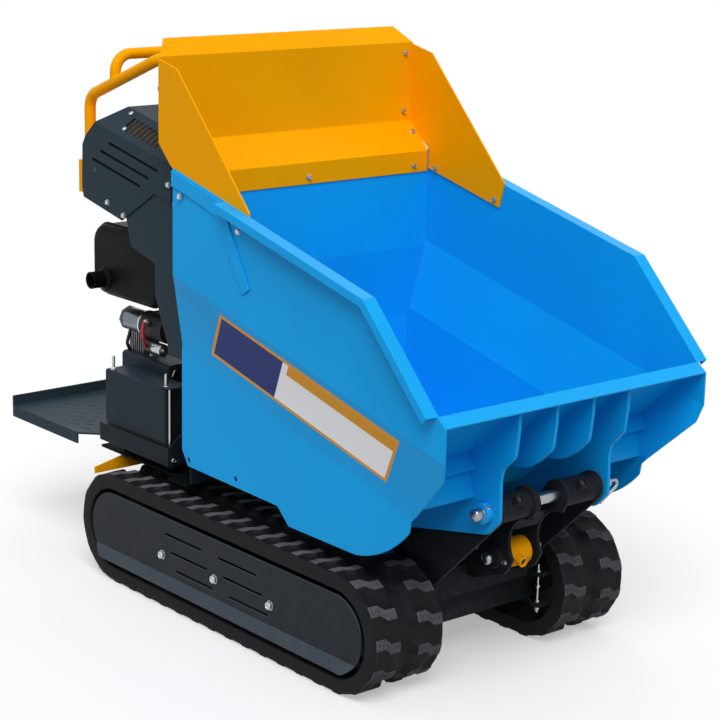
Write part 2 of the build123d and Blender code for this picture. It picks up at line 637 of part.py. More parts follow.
# Engine with its cooling fins and the plate that carries the starter
with BuildPart() as engine_block:
    block(ENGINE_REAR_X, ENGINE_FRONT_X, ENGINE_RIGHT_Y, ENGINE_LEFT_Y, DECK_TOP_Z, CRANKCASE_TOP_Z)
    head_half = -ENGINE_RIGHT_Y - 3 - FIN_DEPTH
    head_rear, head_front = ENGINE_REAR_X + 30, ENGINE_FRONT_X - 20
    block(head_rear, head_front, -head_half, head_half, CRANKCASE_TOP_Z, CYLINDER_HEAD_TOP_Z)
    for i in range(FIN_COUNT):
        fin_low = CRANKCASE_TOP_Z + FIN_PITCH * (i + 0.8)
        block(
            head_rear - FIN_DEPTH,
            head_front + FIN_DEPTH,
            -head_half - FIN_DEPTH,
            head_half + FIN_DEPTH,
            fin_low,
            fin_low + FIN_THICKNESS,
        )
    for i in range(FIN_COUNT):
        rib_x = ENGINE_REAR_X + 20 + i * FIN_PITCH * 1.4
        rib_face = ENGINE_RIGHT_Y - FIN_DEPTH / 2
        block(rib_x, rib_x + FIN_THICKNESS, rib_face, ENGINE_RIGHT_Y, CRANKCASE_TOP_Z - 60, CRANKCASE_TOP_Z)
    bell_rear = ENGINE_REAR_X - BELL_PLATE
    block(bell_rear, ENGINE_REAR_X, ENGINE_RIGHT_Y, ENGINE_LEFT_Y, DECK_TOP_Z + 40, CRANKCASE_TOP_Z + 90)
    reach = STARTER_RADIUS + STARTER_FLANGE
    block(bell_rear, ENGINE_REAR_X, STARTER_Y, ENGINE_RIGHT_Y, STARTER_Z - reach, STARTER_Z + reach)
    with BuildSketch(Plane.YZ.offset(bell_rear)):
        with Locations((STARTER_Y, STARTER_Z)):
            Circle(reach)
    extrude(amount=BELL_PLATE + STARTER_NOSE)

with BuildPart() as starter_motor:
    with BuildSketch(Plane.YZ.offset(bell_rear)):
        with Locations((STARTER_Y, STARTER_Z)):
            Circle(STARTER_RADIUS)
    extrude(amount=-STARTER_LENGTH)
    fillet(starter_motor.faces().sort_by(Axis.X)[0].edges(), radius=9)
    with BuildSketch(Plane.YZ.offset(bell_rear)):
        with Locations((STARTER_Y, STARTER_Z)):
            Circle(reach)
    extrude(amount=-STARTER_RIM)

with BuildPart() as muffler:
    muffler_top = MUFFLER_LOW_Z + MUFFLER_HEIGHT
    head_side = -head_half - FIN_DEPTH
    block(MUFFLER_REAR_X, MUFFLER_FRONT_X, MUFFLER_RIGHT_Y, head_side - 14, MUFFLER_LOW_Z, muffler_top)
    fillet(muffler.edges().filter_by(Axis.Y), radius=MUFFLER_BEND)
    fillet(muffler.faces().sort_by(Axis.Y)[0].edges(), radius=MUFFLER_ROUND)
    outlet_x, outlet_z = MUFFLER_REAR_X + 53, MUFFLER_LOW_Z + 37
    outlet_end = MUFFLER_RIGHT_Y - OUTLET_LENGTH
    side_bar(outlet_x, outlet_z, OUTLET_RADIUS, outlet_end, MUFFLER_RIGHT_Y + MUFFLER_ROUND)
    side_bar(outlet_x, outlet_z, OUTLET_RADIUS - OUTLET_WALL, outlet_end, MUFFLER_RIGHT_Y, Mode.SUBTRACT)
    port_low = CRANKCASE_TOP_Z + FIN_PITCH * 4.8
    block(head_rear + 20, head_rear + 60, head_side - 14, head_side, port_low, port_low + FIN_PITCH)

# Battery in its tray under a folded cover, and the switch box behind it
battery_y = TRAY_RIGHT_Y + TRAY_SHEET + 8
tray_top = DECK_TOP_Z + TRAY_FLOOR

with BuildPart() as battery_tray:
    floor_low = tray_top - TRAY_SHEET
    foot_rear, foot_front = TRAY_REAR_X + TRAY_FOOT_INSET, TRAY_FRONT_X - TRAY_FOOT_INSET
    block(TRAY_REAR_X, TRAY_FRONT_X, TRAY_RIGHT_Y, TRAY_LEFT_Y, floor_low, tray_top)
    block(foot_rear, foot_front, TRAY_RIGHT_Y + TRAY_FOOT_INSET, TRAY_LEFT_Y, DECK_TOP_Z, floor_low)
    lip_top = DECK_TOP_Z + TRAY_LIP
    block(TRAY_REAR_X, TRAY_FRONT_X, TRAY_RIGHT_Y, TRAY_RIGHT_Y + TRAY_SHEET, tray_top, lip_top)
    cheek = [
        (TRAY_RIGHT_Y, tray_top),
        (TRAY_RIGHT_Y, lip_top),
        (TRAY_RIGHT_Y + 70, lip_top + 54),
        (TRAY_RIGHT_Y + 70, tray_top),
    ]
    end_plate(cheek, TRAY_FRONT_X - TRAY_SHEET, TRAY_FRONT_X)

with BuildPart() as battery:
    battery_front = BATTERY_REAR_X + BATTERY_LENGTH
    battery_top = tray_top + BATTERY_HEIGHT
    block(BATTERY_REAR_X, battery_front, battery_y, battery_y + BATTERY_WIDTH, tray_top, battery_top)

with BuildPart() as battery_cover:
    cover_low_y = battery_y - COVER_SHEET
    cover_high_y = battery_y + BATTERY_WIDTH + COVER_SHEET
    cover_top = battery_top + COVER_SHEET
    block(BATTERY_REAR_X, battery_front, cover_low_y, cover_high_y, cover_top - COVER_DEPTH, cover_top)
    top_edges = battery_cover.faces().sort_by(Axis.Z)[-1].edges().filter_by(Axis.X)
    fillet(top_edges, radius=BATTERY_COVER_BEND)
    inside_top = cover_top - COVER_SHEET
    block(
        BATTERY_REAR_X,
        battery_front,
        battery_y,
        battery_y + BATTERY_WIDTH,
        cover_top - COVER_DEPTH,
        inside_top,
        Mode.SUBTRACT,
    )

with BuildPart() as switch_box:
    box_low_y = cover_high_y + FIT_GAP
    box_top = tray_top + BOX_HEIGHT
    block(BOX_REAR_X, BOX_FRONT_X, box_low_y, box_low_y + BOX_WIDTH, tray_top, box_top)
    fillet(switch_box.faces().sort_by(Axis.Z)[-1].edges().filter_by(Axis.X), radius=BOX_BEND)

with BuildPart() as hydraulic_tank:
    block(TANK_REAR_X, TANK_FRONT_X, TANK_RIGHT_Y, TANK_LEFT_Y, DECK_TOP_Z, DECK_TOP_Z + TANK_HEIGHT)
    fillet(hydraulic_tank.edges().filter_by(Axis.Z), radius=TANK_BEND)
    cap_place = ((TANK_REAR_X + TANK_FRONT_X) / 2, (TANK_RIGHT_Y + TANK_LEFT_Y) / 2)
    with BuildSketch(Plane.XY.offset(DECK_TOP_Z + TANK_HEIGHT)):
        with Locations(cap_place):
            Circle(CAP_RADIUS)
    extrude(amount=CAP_HEIGHT)

# Hood: one folded sheet with slots and vents, cut to its side outline, with a front wall


def hood_section():
    """The hood's folded section at its front edge, from one lower end over the top to the other."""
    half = [(HOOD_Y, DECK_TOP_Z), (HOOD_Y, HOOD_FOLD_Z), (HOOD_RIDGE_Y, HOOD_RIDGE_Z)]
    return half + [(-y, z) for y, z in half[::-1]]


def hood_room(mode):
    """The space inside the hood's folded sheet, longer than the hood."""
    inside = sheet_outline(hood_section(), HOOD_SHEET)[6:]
    skewed(inside, HOOD_FRONT_X - 2 * HOOD_LENGTH, HOOD_FRONT_X, HOOD_SLOPE, HOOD_FRONT_X, mode)


hood_rear_x = HOOD_FRONT_X - HOOD_LENGTH
hood_low_z = HOOD_FOLD_Z - 150
hood_outline = [
    (HOOD_FRONT_X, HOOD_FOLD_Z - 85),
    (HOOD_FRONT_X, HOOD_RIDGE_Z + 100),
    (hood_rear_x + 135, HOOD_RIDGE_Z + 100),
    (hood_rear_x + 96, HOOD_RIDGE_Z + 52),
    (hood_rear_x + 16, HOOD_FOLD_Z + 24),
    (hood_rear_x + 3, HOOD_FOLD_Z + 2),
    (hood_rear_x, HOOD_FOLD_Z - 93),
    (hood_rear_x + 6, HOOD_FOLD_Z - 118),
    (hood_rear_x + 162, hood_low_z),
    (hood_rear_x + 291, HOOD_FOLD_Z - 71),
]

with BuildPart() as hood_panels:
    skewed(
        sheet_outline(hood_section(), HOOD_SHEET),
        HOOD_FRONT_X - 2 * HOOD_LENGTH,
        HOOD_FRONT_X,
        HOOD_SLOPE,
        HOOD_FRONT_X,
    )
    side_plate(hood_outline, -HOOD_Y, HOOD_Y, Mode.INTERSECT)
    with BuildSketch(Plane.YZ.offset(HOOD_FRONT_X), mode=Mode.PRIVATE) as front_face:
        Polygon(*hood_section(), align=None)
        Rectangle(3 * HOOD_Y, 2 * (HOOD_FOLD_Z - 85), mode=Mode.SUBTRACT)
    extrude(front_face.sketch, amount=-HOOD_SHEET)
    for i in range(HOOD_SLOT_COUNT):
        front_x, front_z = HOOD_FRONT_X - 51 - 34 * i, HOOD_FOLD_Z - 24 - 21.5 * i
        rear_x, rear_z = front_x - HOOD_SLOT_LENGTH, front_z + HOOD_SLOPE * HOOD_SLOT_LENGTH
        slot = sheet_outline([(rear_x, rear_z), (front_x, front_z)], HOOD_SLOT_WIDTH)
        for side in (-1, 1):
            low, high = lying(side, HOOD_Y - HOOD_SHEET, HOOD_Y)
            side_plate(slot, low, high, Mode.SUBTRACT)
    for i in range(VENT_COUNT):
        vent_x = HOOD_FRONT_X - 75 - VENT_PITCH * i
        vent_z = HOOD_FOLD_Z + 10 + HOOD_SLOPE * (HOOD_FRONT_X - vent_x)
        for side in (-1, 1):
            low, high = lying(side, HOOD_RIDGE_Y, HOOD_Y - 8)
            block(vent_x - VENT_WIDTH, vent_x, low, high, vent_z, vent_z + 22, Mode.SUBTRACT)

# Column: two side plates and a front plate standing on the deck, the right one cut off above the battery
column_outer = HOOD_Y - HOOD_SHEET
column_top = HOOD_FOLD_Z - 86
with BuildPart() as column_panels:
    behind_front_wall = HOOD_FRONT_X - HOOD_SHEET - SEAT_GAP
    column_outline = [
        (COLUMN_FRONT_X, DECK_TOP_Z),
        (COLUMN_FRONT_X, column_top),
        (behind_front_wall, column_top),
        (behind_front_wall, column_top + 28),
        (behind_front_wall - 91, column_top + 18),
        (behind_front_wall - 179, column_top - 42),
        (behind_front_wall - 157, column_top - 117),
        (behind_front_wall - 63, column_top - 142),
        (behind_front_wall - 62, column_top - 211),
        (behind_front_wall - 34, column_top - 274),
        (behind_front_wall - 16, column_top - 310),
        (TRAY_FRONT_X + FIT_GAP, DECK_TOP_Z + TRAY_LIP + 60),
        (TRAY_FRONT_X + FIT_GAP, DECK_TOP_Z),
    ]
    for side in (-1, 1):
        low, high = lying(side, column_outer - PANEL_SHEET, column_outer)
        side_plate(column_outline, low, high)
    foot_z = DECK_TOP_Z + RIGHT_COLUMN_FOOT
    behind_front_plate = COLUMN_FRONT_X - PANEL_SHEET
    inner_face = -column_outer + PANEL_SHEET
    block(TRAY_REAR_X, behind_front_plate, -column_outer, inner_face, DECK_TOP_Z, foot_z, Mode.SUBTRACT)
    block(behind_front_plate, COLUMN_FRONT_X, -column_outer, column_outer, DECK_TOP_Z, column_top)

# Controls: the sloping panel, the console that the handle stands on, levers and the handle
console_rear_x = hood_rear_x - CONSOLE_DEPTH
console_low_z = HOOD_FOLD_Z - 110
with BuildPart() as control_panel:
    panel_line = [
        (hood_rear_x + 94, HOOD_RIDGE_Z + 46),
        (hood_rear_x + 15, HOOD_FOLD_Z + 20),
        (hood_rear_x + 1, HOOD_FOLD_Z - 4),
        (hood_rear_x, console_low_z),
    ]
    side_plate(sheet_outline(panel_line, PANEL_SHEET), -HOOD_Y, HOOD_Y)
    hood_room(Mode.INTERSECT)
    console_half = column_outer - FIT_GAP
    console_top_z = console_low_z + CONSOLE_HEIGHT
    block(console_rear_x, hood_rear_x, -console_half, console_half, console_low_z, console_top_z)

with BuildPart() as control_levers:
    lever_x, lever_z = hood_rear_x + 58, HOOD_FOLD_Z + 56
    for i in range(LEVER_COUNT):
        lever_y = (i - (LEVER_COUNT - 1) / 2) * LEVER_PITCH
        with BuildSketch(Plane((lever_x, lever_y, lever_z), z_dir=(-0.3, 0, 1))):
            Circle(LEVER_RADIUS)
        extrude(amount=LEVER_LENGTH)
        with Locations((lever_x - 0.29 * LEVER_LENGTH, lever_y, lever_z + 0.96 * LEVER_LENGTH)):
            Sphere(KNOB_RADIUS)
    add(control_panel.part, mode=Mode.SUBTRACT)

with BuildPart() as handle_frame:
    leg_x = console_rear_x - HANDLE_RADIUS - SEAT_GAP
    corner_z = HOOD_FOLD_Z + 105
    front_z = corner_z + HANDLE_SLOPE * (HANDLE_FRONT_X - leg_x)
    with BuildLine() as handle_line:
        FilletPolyline(
            (leg_x, -HANDLE_Y, console_low_z + 6),
            (leg_x, -HANDLE_Y, corner_z),
            (HANDLE_FRONT_X, -HANDLE_Y, front_z),
            (HANDLE_FRONT_X, HANDLE_Y, front_z),
            (leg_x, HANDLE_Y, corner_z),
            (leg_x, HANDLE_Y, console_low_z + 6),
            radius=HANDLE_BEND,
        )
    with BuildSketch(Plane((leg_x, -HANDLE_Y, console_low_z + 6))):
        Circle(HANDLE_RADIUS)
    sweep()
    hoop_low = corner_z + HANDLE_SLOPE * (HOOP_X - leg_x)
    with BuildLine() as hoop_line:
        FilletPolyline(
            (HOOP_X, -HANDLE_Y, hoop_low),
            (HOOP_X, -HANDLE_Y, hoop_low + HOOP_RISE),
            (HOOP_X, HANDLE_Y, hoop_low + HOOP_RISE),
            (HOOP_X, HANDLE_Y, hoop_low),
            radius=HANDLE_BEND,
        )
    with BuildSketch(Plane((HOOP_X, -HANDLE_Y, hoop_low))):
        Circle(HANDLE_RADIUS - 0.5)
    sweep()

# Tub: folded side walls with a turned-out flange, a back wall and a floor that slopes up to the lip


def wall_section(side):
    """The folded section of a tub wall's outer face at X = 0, from the top down."""
    return [
        (side * WALL_UPPER_Y, 2 * TOP_CORNER_Z),
        (side * WALL_UPPER_Y, UPPER_FOLD_Z),
        (side * WALL_LOWER_Y, LOWER_FOLD_Z),
        (side * WALL_LOWER_Y, 0),
    ]


def tub_room(mode):
    """The space between the inner faces of the tub's side walls, much longer and higher than the tub."""
    half = sheet_outline(wall_section(1), -TUB_PLATE)[4:]
    outline = half + [(-y, z) for y, z in half[::-1]]
    skewed(outline, TUB_REAR_X - 400, LIP_FRONT_X + 200, FOLD_SLOPE, 0, mode)


def top_edge_z(x):
    """The height of the tub wall's sloping top edge."""
    return TOP_CORNER_Z + FOLD_SLOPE * (TOP_CORNER_X - x)


def slope_under_x(z):
    """Where the underside of the tub's front slope is at a height."""
    return z + LIP_X - LIP_Z + SLOPE_DROP


def wall_cut(mode):
    """The side wall's outline, with a round lower front corner, through the whole width of the tub."""
    nose = (HINGE_X - 35, HINGE_Z - 19)
    bend = (HINGE_X - 191, SKIRT_LOW_Z)
    with BuildSketch(Plane.XZ.offset(-2 * WALL_UPPER_Y), mode=Mode.PRIVATE) as outline:
        with BuildLine():
            Polyline(
                nose,
                (HINGE_X - 31, HINGE_Z + 5),
                (LIP_FRONT_X - 11, LIP_FRONT_Z - 106),
                (LIP_FRONT_X, LIP_FRONT_Z - 68),
                (LIP_FRONT_X, LIP_FRONT_Z),
                (LIP_X, LIP_Z),
                (TOP_CORNER_X, TOP_CORNER_Z),
                (TUB_REAR_X, top_edge_z(TUB_REAR_X)),
                (TUB_REAR_X, UPPER_FOLD_Z),
                (TUB_REAR_LOW_X, LOWER_FOLD_Z),
                (TUB_REAR_LOW_X, SKIRT_REAR_Z + 38),
                (TUB_REAR_LOW_X + 22, SKIRT_REAR_Z + 5),
                (HINGE_X - 444, SKIRT_REAR_Z - 2),
                (HINGE_X - 405, SKIRT_LOW_Z),
                bend,
            )
            ThreePointArc(bend, (HINGE_X - 101, SKIRT_LOW_Z + 32), nose)
        make_face()
    extrude(outline.sketch, amount=4 * WALL_UPPER_Y, mode=mode)


walls = {}
for side, name in ((-1, "right"), (1, "left")):
    with BuildPart() as wall:
        skewed(
            sheet_outline(wall_section(side), -side * TUB_PLATE),
            TUB_REAR_X - 400,
            LIP_FRONT_X + 200,
            FOLD_SLOPE,
            0,
        )
        wall_cut(Mode.INTERSECT)
        edge = [
            (FLANGE_REAR_X, top_edge_z(FLANGE_REAR_X)),
            (TOP_CORNER_X, TOP_CORNER_Z),
            (LIP_X, LIP_Z),
        ]
        flange_y = WALL_UPPER_Y + FLANGE_WIDTH
        low, high = lying(side, WALL_UPPER_Y - TUB_PLATE, flange_y)
        side_plate(sheet_outline(edge, -TUB_PLATE), low, high)
        low, high = lying(side, flange_y - TUB_PLATE, flange_y)
        side_plate(sheet_outline(edge, -FLANGE_LIP), low, high)
        low, high = lying(side, WALL_LOWER_Y - TUB_PLATE, WALL_LOWER_Y)
        for x in (SKIRT_HOLE_X, SKIRT_HOLE_X + SKIRT_HOLE_PITCH):
            side_bar(x, SKIRT_HOLE_Z, SKIRT_HOLE_RADIUS, low, high, Mode.SUBTRACT)
    walls["tub_" + name + "_wall"] = wall

with BuildPart() as tub_back_wall:
    back_line = [
        (TUB_REAR_X, BACK_WALL_TOP_Z),
        (TUB_REAR_X, UPPER_FOLD_Z),
        (TUB_REAR_LOW_X, LOWER_FOLD_Z),
        (TUB_REAR_LOW_X, FLOOR_UNDER_Z),
    ]
    side_plate(sheet_outline(back_line, TUB_PLATE), -WALL_UPPER_Y, WALL_UPPER_Y)
    tub_room(Mode.INTERSECT)

with BuildPart() as tub_floor:
    floor_line = [
        (TUB_REAR_LOW_X + TUB_PLATE, FLOOR_Z),
        (FLOOR_FRONT_X, FLOOR_Z),
        (LIP_X, LIP_Z),
        (LIP_FRONT_X, LIP_FRONT_Z),
    ]
    side_plate(sheet_outline(floor_line, -TUB_PLATE), -WALL_UPPER_Y, WALL_UPPER_Y)
    tub_room(Mode.INTERSECT)

# Ribs under the front slope: the outer two are keels that carry the hinge pin
rib_top = LIP_FRONT_Z - 6
rib_nose = [
    (slope_under_x(rib_top), rib_top),
    (LIP_FRONT_X - 18, rib_top),
    (LIP_FRONT_X - 18, rib_top - 36),
    (LIP_FRONT_X - 25, rib_top - 92),
    (LIP_FRONT_X - 57, rib_top - 123),
]


def front_corners(rib):
    """The corners of the ribs' front edge below the lip."""
    corners = rib.edges().filter_by(Axis.Y).filter_by_position(Axis.X, HINGE_X + 2, LIP_FRONT_X - 17)
    return corners.filter_by_position(Axis.Z, 0, rib_top - 30)


with BuildPart() as tub_keels:
    keel_outline = [
        (KEEL_REAR_X, FLOOR_UNDER_Z),
        (slope_under_x(FLOOR_UNDER_Z), FLOOR_UNDER_Z),
        *rib_nose,
        (HINGE_X + 35, HINGE_Z + 70),
        (HINGE_X + 37, HINGE_Z - 12),
        (HINGE_X + 4, HINGE_Z - 45),
        (HINGE_X - 226, KEEL_LOW_Z),
        (KEEL_REAR_X, KEEL_LOW_Z),
    ]
    for side in (-1, 1):
        low, high = lying(side, KEEL_Y - RIB_PLATE / 2, KEEL_Y + RIB_PLATE / 2)
        side_plate(keel_outline, low, high)
    fillet(front_corners(tub_keels), radius=RIB_BEND)
    bore_end = KEEL_Y + RIB_PLATE
    side_bar(HINGE_X, HINGE_Z, PIN_RADIUS + 0.1, -bore_end, bore_end, Mode.SUBTRACT)

with BuildPart() as lip_ribs:
    rib_outline = [
        (slope_under_x(rib_top - 137), rib_top - 137),
        *rib_nose,
        (HINGE_X + 9, HINGE_Z + 75),
        (HINGE_X - 31, HINGE_Z + 65),
    ]
    for side in (-1, 1):
        low, high = lying(side, LIP_RIB_Y - RIB_PLATE / 2, LIP_RIB_Y + RIB_PLATE / 2)
        side_plate(rib_outline, low, high)
    fillet(front_corners(lip_ribs), radius=RIB_BEND)

with BuildPart() as cross_channel:
    channel_top = HINGE_Z + 109
    channel_line = [
        (slope_under_x(channel_top), channel_top),
        (HINGE_X - 31, HINGE_Z + 81),
        (HINGE_X - 49, HINGE_Z + 73),
        (HINGE_X - 37, HINGE_Z + 21),
    ]
    side_plate(sheet_outline(channel_line, -TUB_PLATE), -WALL_UPPER_Y, WALL_UPPER_Y)
    tub_room(Mode.INTERSECT)
    add(tub_floor.part, mode=Mode.SUBTRACT)
    for y in (-KEEL_Y, -LIP_RIB_Y, LIP_RIB_Y, KEEL_Y):
        low, high = y - RIB_PLATE / 2, y + RIB_PLATE / 2
        block(HINGE_X - 120, HINGE_X + 120, low, high, HINGE_Z - 100, HINGE_Z + 200, Mode.SUBTRACT)
    clear_top = HINGE_Z + CHANNEL_CLEARANCE
    block(HINGE_X - 120, HINGE_X + 120, -KEEL_Y, KEEL_Y, HINGE_Z - 100, clear_top, Mode.SUBTRACT)

with BuildPart() as wall_doublers:
    doubler_rear = top_edge_z(TUB_REAR_X) - 3
    doubler_outline = [
        (TUB_REAR_X, doubler_rear),
        (TUB_REAR_X, doubler_rear - 34),
        (TUB_REAR_X + 32, doubler_rear - 40),
        (TUB_REAR_X + 119, doubler_rear - 63),
        (TUB_REAR_X + 158, doubler_rear - 76),
        (TUB_REAR_X + 250, doubler_rear - 222),
        (TUB_REAR_X + 272, doubler_rear - 208),
        (TUB_REAR_X + 196, doubler_rear - 76),
        (FLANGE_REAR_X - 2, top_edge_z(FLANGE_REAR_X) - 3),
    ]
    for side in (-1, 1):
        low, high = lying(side, WALL_UPPER_Y, WALL_UPPER_Y + TUB_PLATE)
        side_plate(doubler_outline, low, high)

# Extension of the tub's back: a folded sheet and two wings against the walls
shelf_x = TUB_REAR_X + TUB_PLATE
with BuildPart() as extension_back:
    extension_line = [
        (EXTENSION_BACK_X - EXTENSION_FOLD, EXTENSION_TOP_Z),
        (EXTENSION_BACK_X, EXTENSION_TOP_Z - EXTENSION_FOLD),
        (EXTENSION_BACK_X, BACK_WALL_TOP_Z + 69),
        (shelf_x, BACK_WALL_TOP_Z + 6),
        (shelf_x, BACK_WALL_TOP_Z - 41),
    ]
    half = WING_OUTER_Y - WING_PLATE
    side_plate(sheet_outline(extension_line, EXTENSION_SHEET), -half, half)
    for side in (-1, 1):
        corner = [
            (side * (half + 5), EXTENSION_TOP_Z + 5),
            (side * (half - 36), EXTENSION_TOP_Z + 5),
            (side * half, EXTENSION_TOP_Z - EXTENSION_FOLD),
            (side * (half + 5), EXTENSION_TOP_Z - EXTENSION_FOLD),
        ]
        end_plate(corner, EXTENSION_BACK_X - 50, EXTENSION_BACK_X + 20, Mode.SUBTRACT)

with BuildPart() as extension_wings:
    wing_foot = shelf_x + EXTENSION_SHEET + FIT_GAP
    wing_outline = [
        (EXTENSION_BACK_X, BACK_WALL_TOP_Z + 69),
        (EXTENSION_BACK_X, EXTENSION_TOP_Z - EXTENSION_FOLD - 3),
        (TUB_REAR_X + 10, EXTENSION_TOP_Z - EXTENSION_FOLD - 18),
        (TUB_REAR_X + 262, BACK_WALL_TOP_Z - 35),
        (TUB_REAR_X + 247, BACK_WALL_TOP_Z - 92),
        (wing_foot, BACK_WALL_TOP_Z - 34),
        (wing_foot, BACK_WALL_TOP_Z + 9),
        (TUB_REAR_X - 16, BACK_WALL_TOP_Z + 29),
    ]
    for side in (-1, 1):
        low, high = lying(side, WING_OUTER_Y - WING_PLATE, WING_OUTER_Y)
        side_plate(wing_outline, low, high)

# Hinge pin with its collars and pull rod, and the lugs at the end of the cylinder's rod
with BuildPart() as hinge_pin:
    collar_face = KEEL_Y + RIB_PLATE / 2
    pin_end = collar_face + COLLAR_LENGTH + PIN_STAND_OUT
    side_bar(HINGE_X, HINGE_Z, PIN_RADIUS, -pin_end, pin_end)
    for side in (-1, 1):
        low, high = lying(side, collar_face, collar_face + COLLAR_LENGTH)
        side_bar(HINGE_X, HINGE_Z, COLLAR_RADIUS, low, high)
    with BuildLine() as pull_line:
        FilletPolyline(
            (HINGE_X, pin_end - 6, HINGE_Z),
            (HINGE_X, pin_end + PULL_ROD_REACH, HINGE_Z),
            (HINGE_X, collar_face + PULL_ROD_END_GAP, HINGE_Z - PULL_ROD_DROP),
            radius=PULL_ROD_BEND,
        )
    with BuildSketch(Plane((HINGE_X, pin_end - 6, HINGE_Z), z_dir=pull_line.line % 0)):
        Circle(PULL_ROD_RADIUS)
    sweep()

with BuildPart() as rod_lugs:
    near = ROD_EYE_WIDTH / 2 + MOVING_GAP
    for side in (-1, 1):
        low, high = lying(side, near, near + LUG_PLATE)
        side_bar(ROD_EYE_X, ROD_EYE_Z, LUG_RADIUS, low, high)
        block(ROD_EYE_X - LUG_RADIUS, ROD_EYE_X + LUG_RADIUS, low, high, ROD_EYE_Z, FLOOR_UNDER_Z)

# Tipping cylinder: the barrel on its pin and the rod with its eye
cylinder_plane = Plane(
    (CYLINDER_X, 0, CYLINDER_Z),
    x_dir=(0, 1, 0),
    z_dir=(ROD_EYE_X - CYLINDER_X, 0, ROD_EYE_Z - CYLINDER_Z),
)

with BuildPart() as cylinder_barrel:
    with BuildSketch(cylinder_plane):
        Circle(BARREL_RADIUS)
    extrude(amount=BARREL_LENGTH)
    with BuildSketch(cylinder_plane.offset(BARREL_LENGTH - GLAND_LENGTH)):
        Circle(GLAND_RADIUS)
    extrude(amount=GLAND_LENGTH)
    eye_half = BRACKET_INNER_Y - MOVING_GAP
    side_bar(CYLINDER_X, CYLINDER_Z, BARREL_EYE_RADIUS, -eye_half, eye_half)
    stub(CYLINDER_X, STUB_SHIFT, CYLINDER_Z, (1, 0, -0.15), BARREL_EYE_RADIUS + STUB_LENGTH)
    side_bar(CYLINDER_X, CYLINDER_Z, PIN_RADIUS + PIN_GAP, -eye_half, eye_half, Mode.SUBTRACT)
    with BuildSketch(cylinder_plane.offset(BARREL_LENGTH - ROD_BORE_DEPTH)):
        Circle(ROD_RADIUS + PIN_GAP)
    extrude(amount=ROD_BORE_DEPTH, mode=Mode.SUBTRACT)

with BuildPart() as cylinder_rod:
    with BuildSketch(cylinder_plane.offset(BARREL_LENGTH - ROD_BORE_DEPTH + FIT_GAP)):
        Circle(ROD_RADIUS)
    extrude(amount=CYLINDER_LENGTH - BARREL_LENGTH + ROD_BORE_DEPTH - FIT_GAP)
    half = ROD_EYE_WIDTH / 2
    side_bar(ROD_EYE_X, ROD_EYE_Z, ROD_EYE_RADIUS, -half, half)
    side_bar(ROD_EYE_X, ROD_EYE_Z, PIN_RADIUS + PIN_GAP, -half, half, Mode.SUBTRACT)

# One STEP file for each piece
pieces = {
    "crossmembers": crossmembers,
    "main_frame": main_frame,
    "hinge_tower": hinge_tower,
    "engine_deck": engine_deck,
    "rear_guard": rear_guard,
    "platform": platform,
    "platform_hinge_rod": platform_hinge_rod,
    "engine_block": engine_block,
    "starter_motor": starter_motor,
    "muffler": muffler,
    "battery_tray": battery_tray,
    "battery": battery,
    "battery_cover": battery_cover,
    "switch_box": switch_box,
    "hydraulic_tank": hydraulic_tank,
    "column_panels": column_panels,
    "hood_panels": hood_panels,
    "control_panel": control_panel,
    "control_levers": control_levers,
    "handle_frame": handle_frame,
    "tub_back_wall": tub_back_wall,
    "tub_floor": tub_floor,
    "tub_keels": tub_keels,
    "lip_ribs": lip_ribs,
    "cross_channel": cross_channel,
    "wall_doublers": wall_doublers,
    "extension_back": extension_back,
    "extension_wings": extension_wings,
    "hinge_pin": hinge_pin,
    "rod_lugs": rod_lugs,
    "cylinder_barrel": cylinder_barrel,
    "cylinder_rod": cylinder_rod,
    **tracks,
    **wheels,
    **frames,
    **covers,
    **walls,
}

os.makedirs("parts", exist_ok=True)
for name, piece in pieces.items():
    piece.part.label = name
    export_step(piece.part, "parts/" + name + ".step")
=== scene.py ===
import json
from math import cos, pi, radians, sin

import bmesh
import bpy
import numpy as np
from mathutils import Matrix, Vector

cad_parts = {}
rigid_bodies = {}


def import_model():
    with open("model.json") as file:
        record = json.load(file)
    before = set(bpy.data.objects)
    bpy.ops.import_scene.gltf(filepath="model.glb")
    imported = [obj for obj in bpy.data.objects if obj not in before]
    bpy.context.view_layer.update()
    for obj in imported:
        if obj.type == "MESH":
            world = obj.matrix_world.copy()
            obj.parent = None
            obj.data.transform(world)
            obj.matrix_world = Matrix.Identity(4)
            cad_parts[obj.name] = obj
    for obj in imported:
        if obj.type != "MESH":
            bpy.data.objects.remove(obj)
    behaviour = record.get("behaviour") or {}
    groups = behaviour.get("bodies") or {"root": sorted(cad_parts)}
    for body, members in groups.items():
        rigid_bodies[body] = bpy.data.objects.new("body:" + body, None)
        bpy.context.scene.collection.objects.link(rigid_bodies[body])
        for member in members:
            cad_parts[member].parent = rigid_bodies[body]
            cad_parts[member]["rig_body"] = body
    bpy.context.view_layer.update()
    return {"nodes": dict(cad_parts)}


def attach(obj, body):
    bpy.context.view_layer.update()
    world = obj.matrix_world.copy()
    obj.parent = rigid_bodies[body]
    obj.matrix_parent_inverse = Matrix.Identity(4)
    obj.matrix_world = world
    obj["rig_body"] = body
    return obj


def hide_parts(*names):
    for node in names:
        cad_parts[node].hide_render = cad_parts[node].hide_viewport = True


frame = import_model()
nodes = frame["nodes"]
scene = bpy.context.scene
scene.view_settings.view_transform = "Standard"

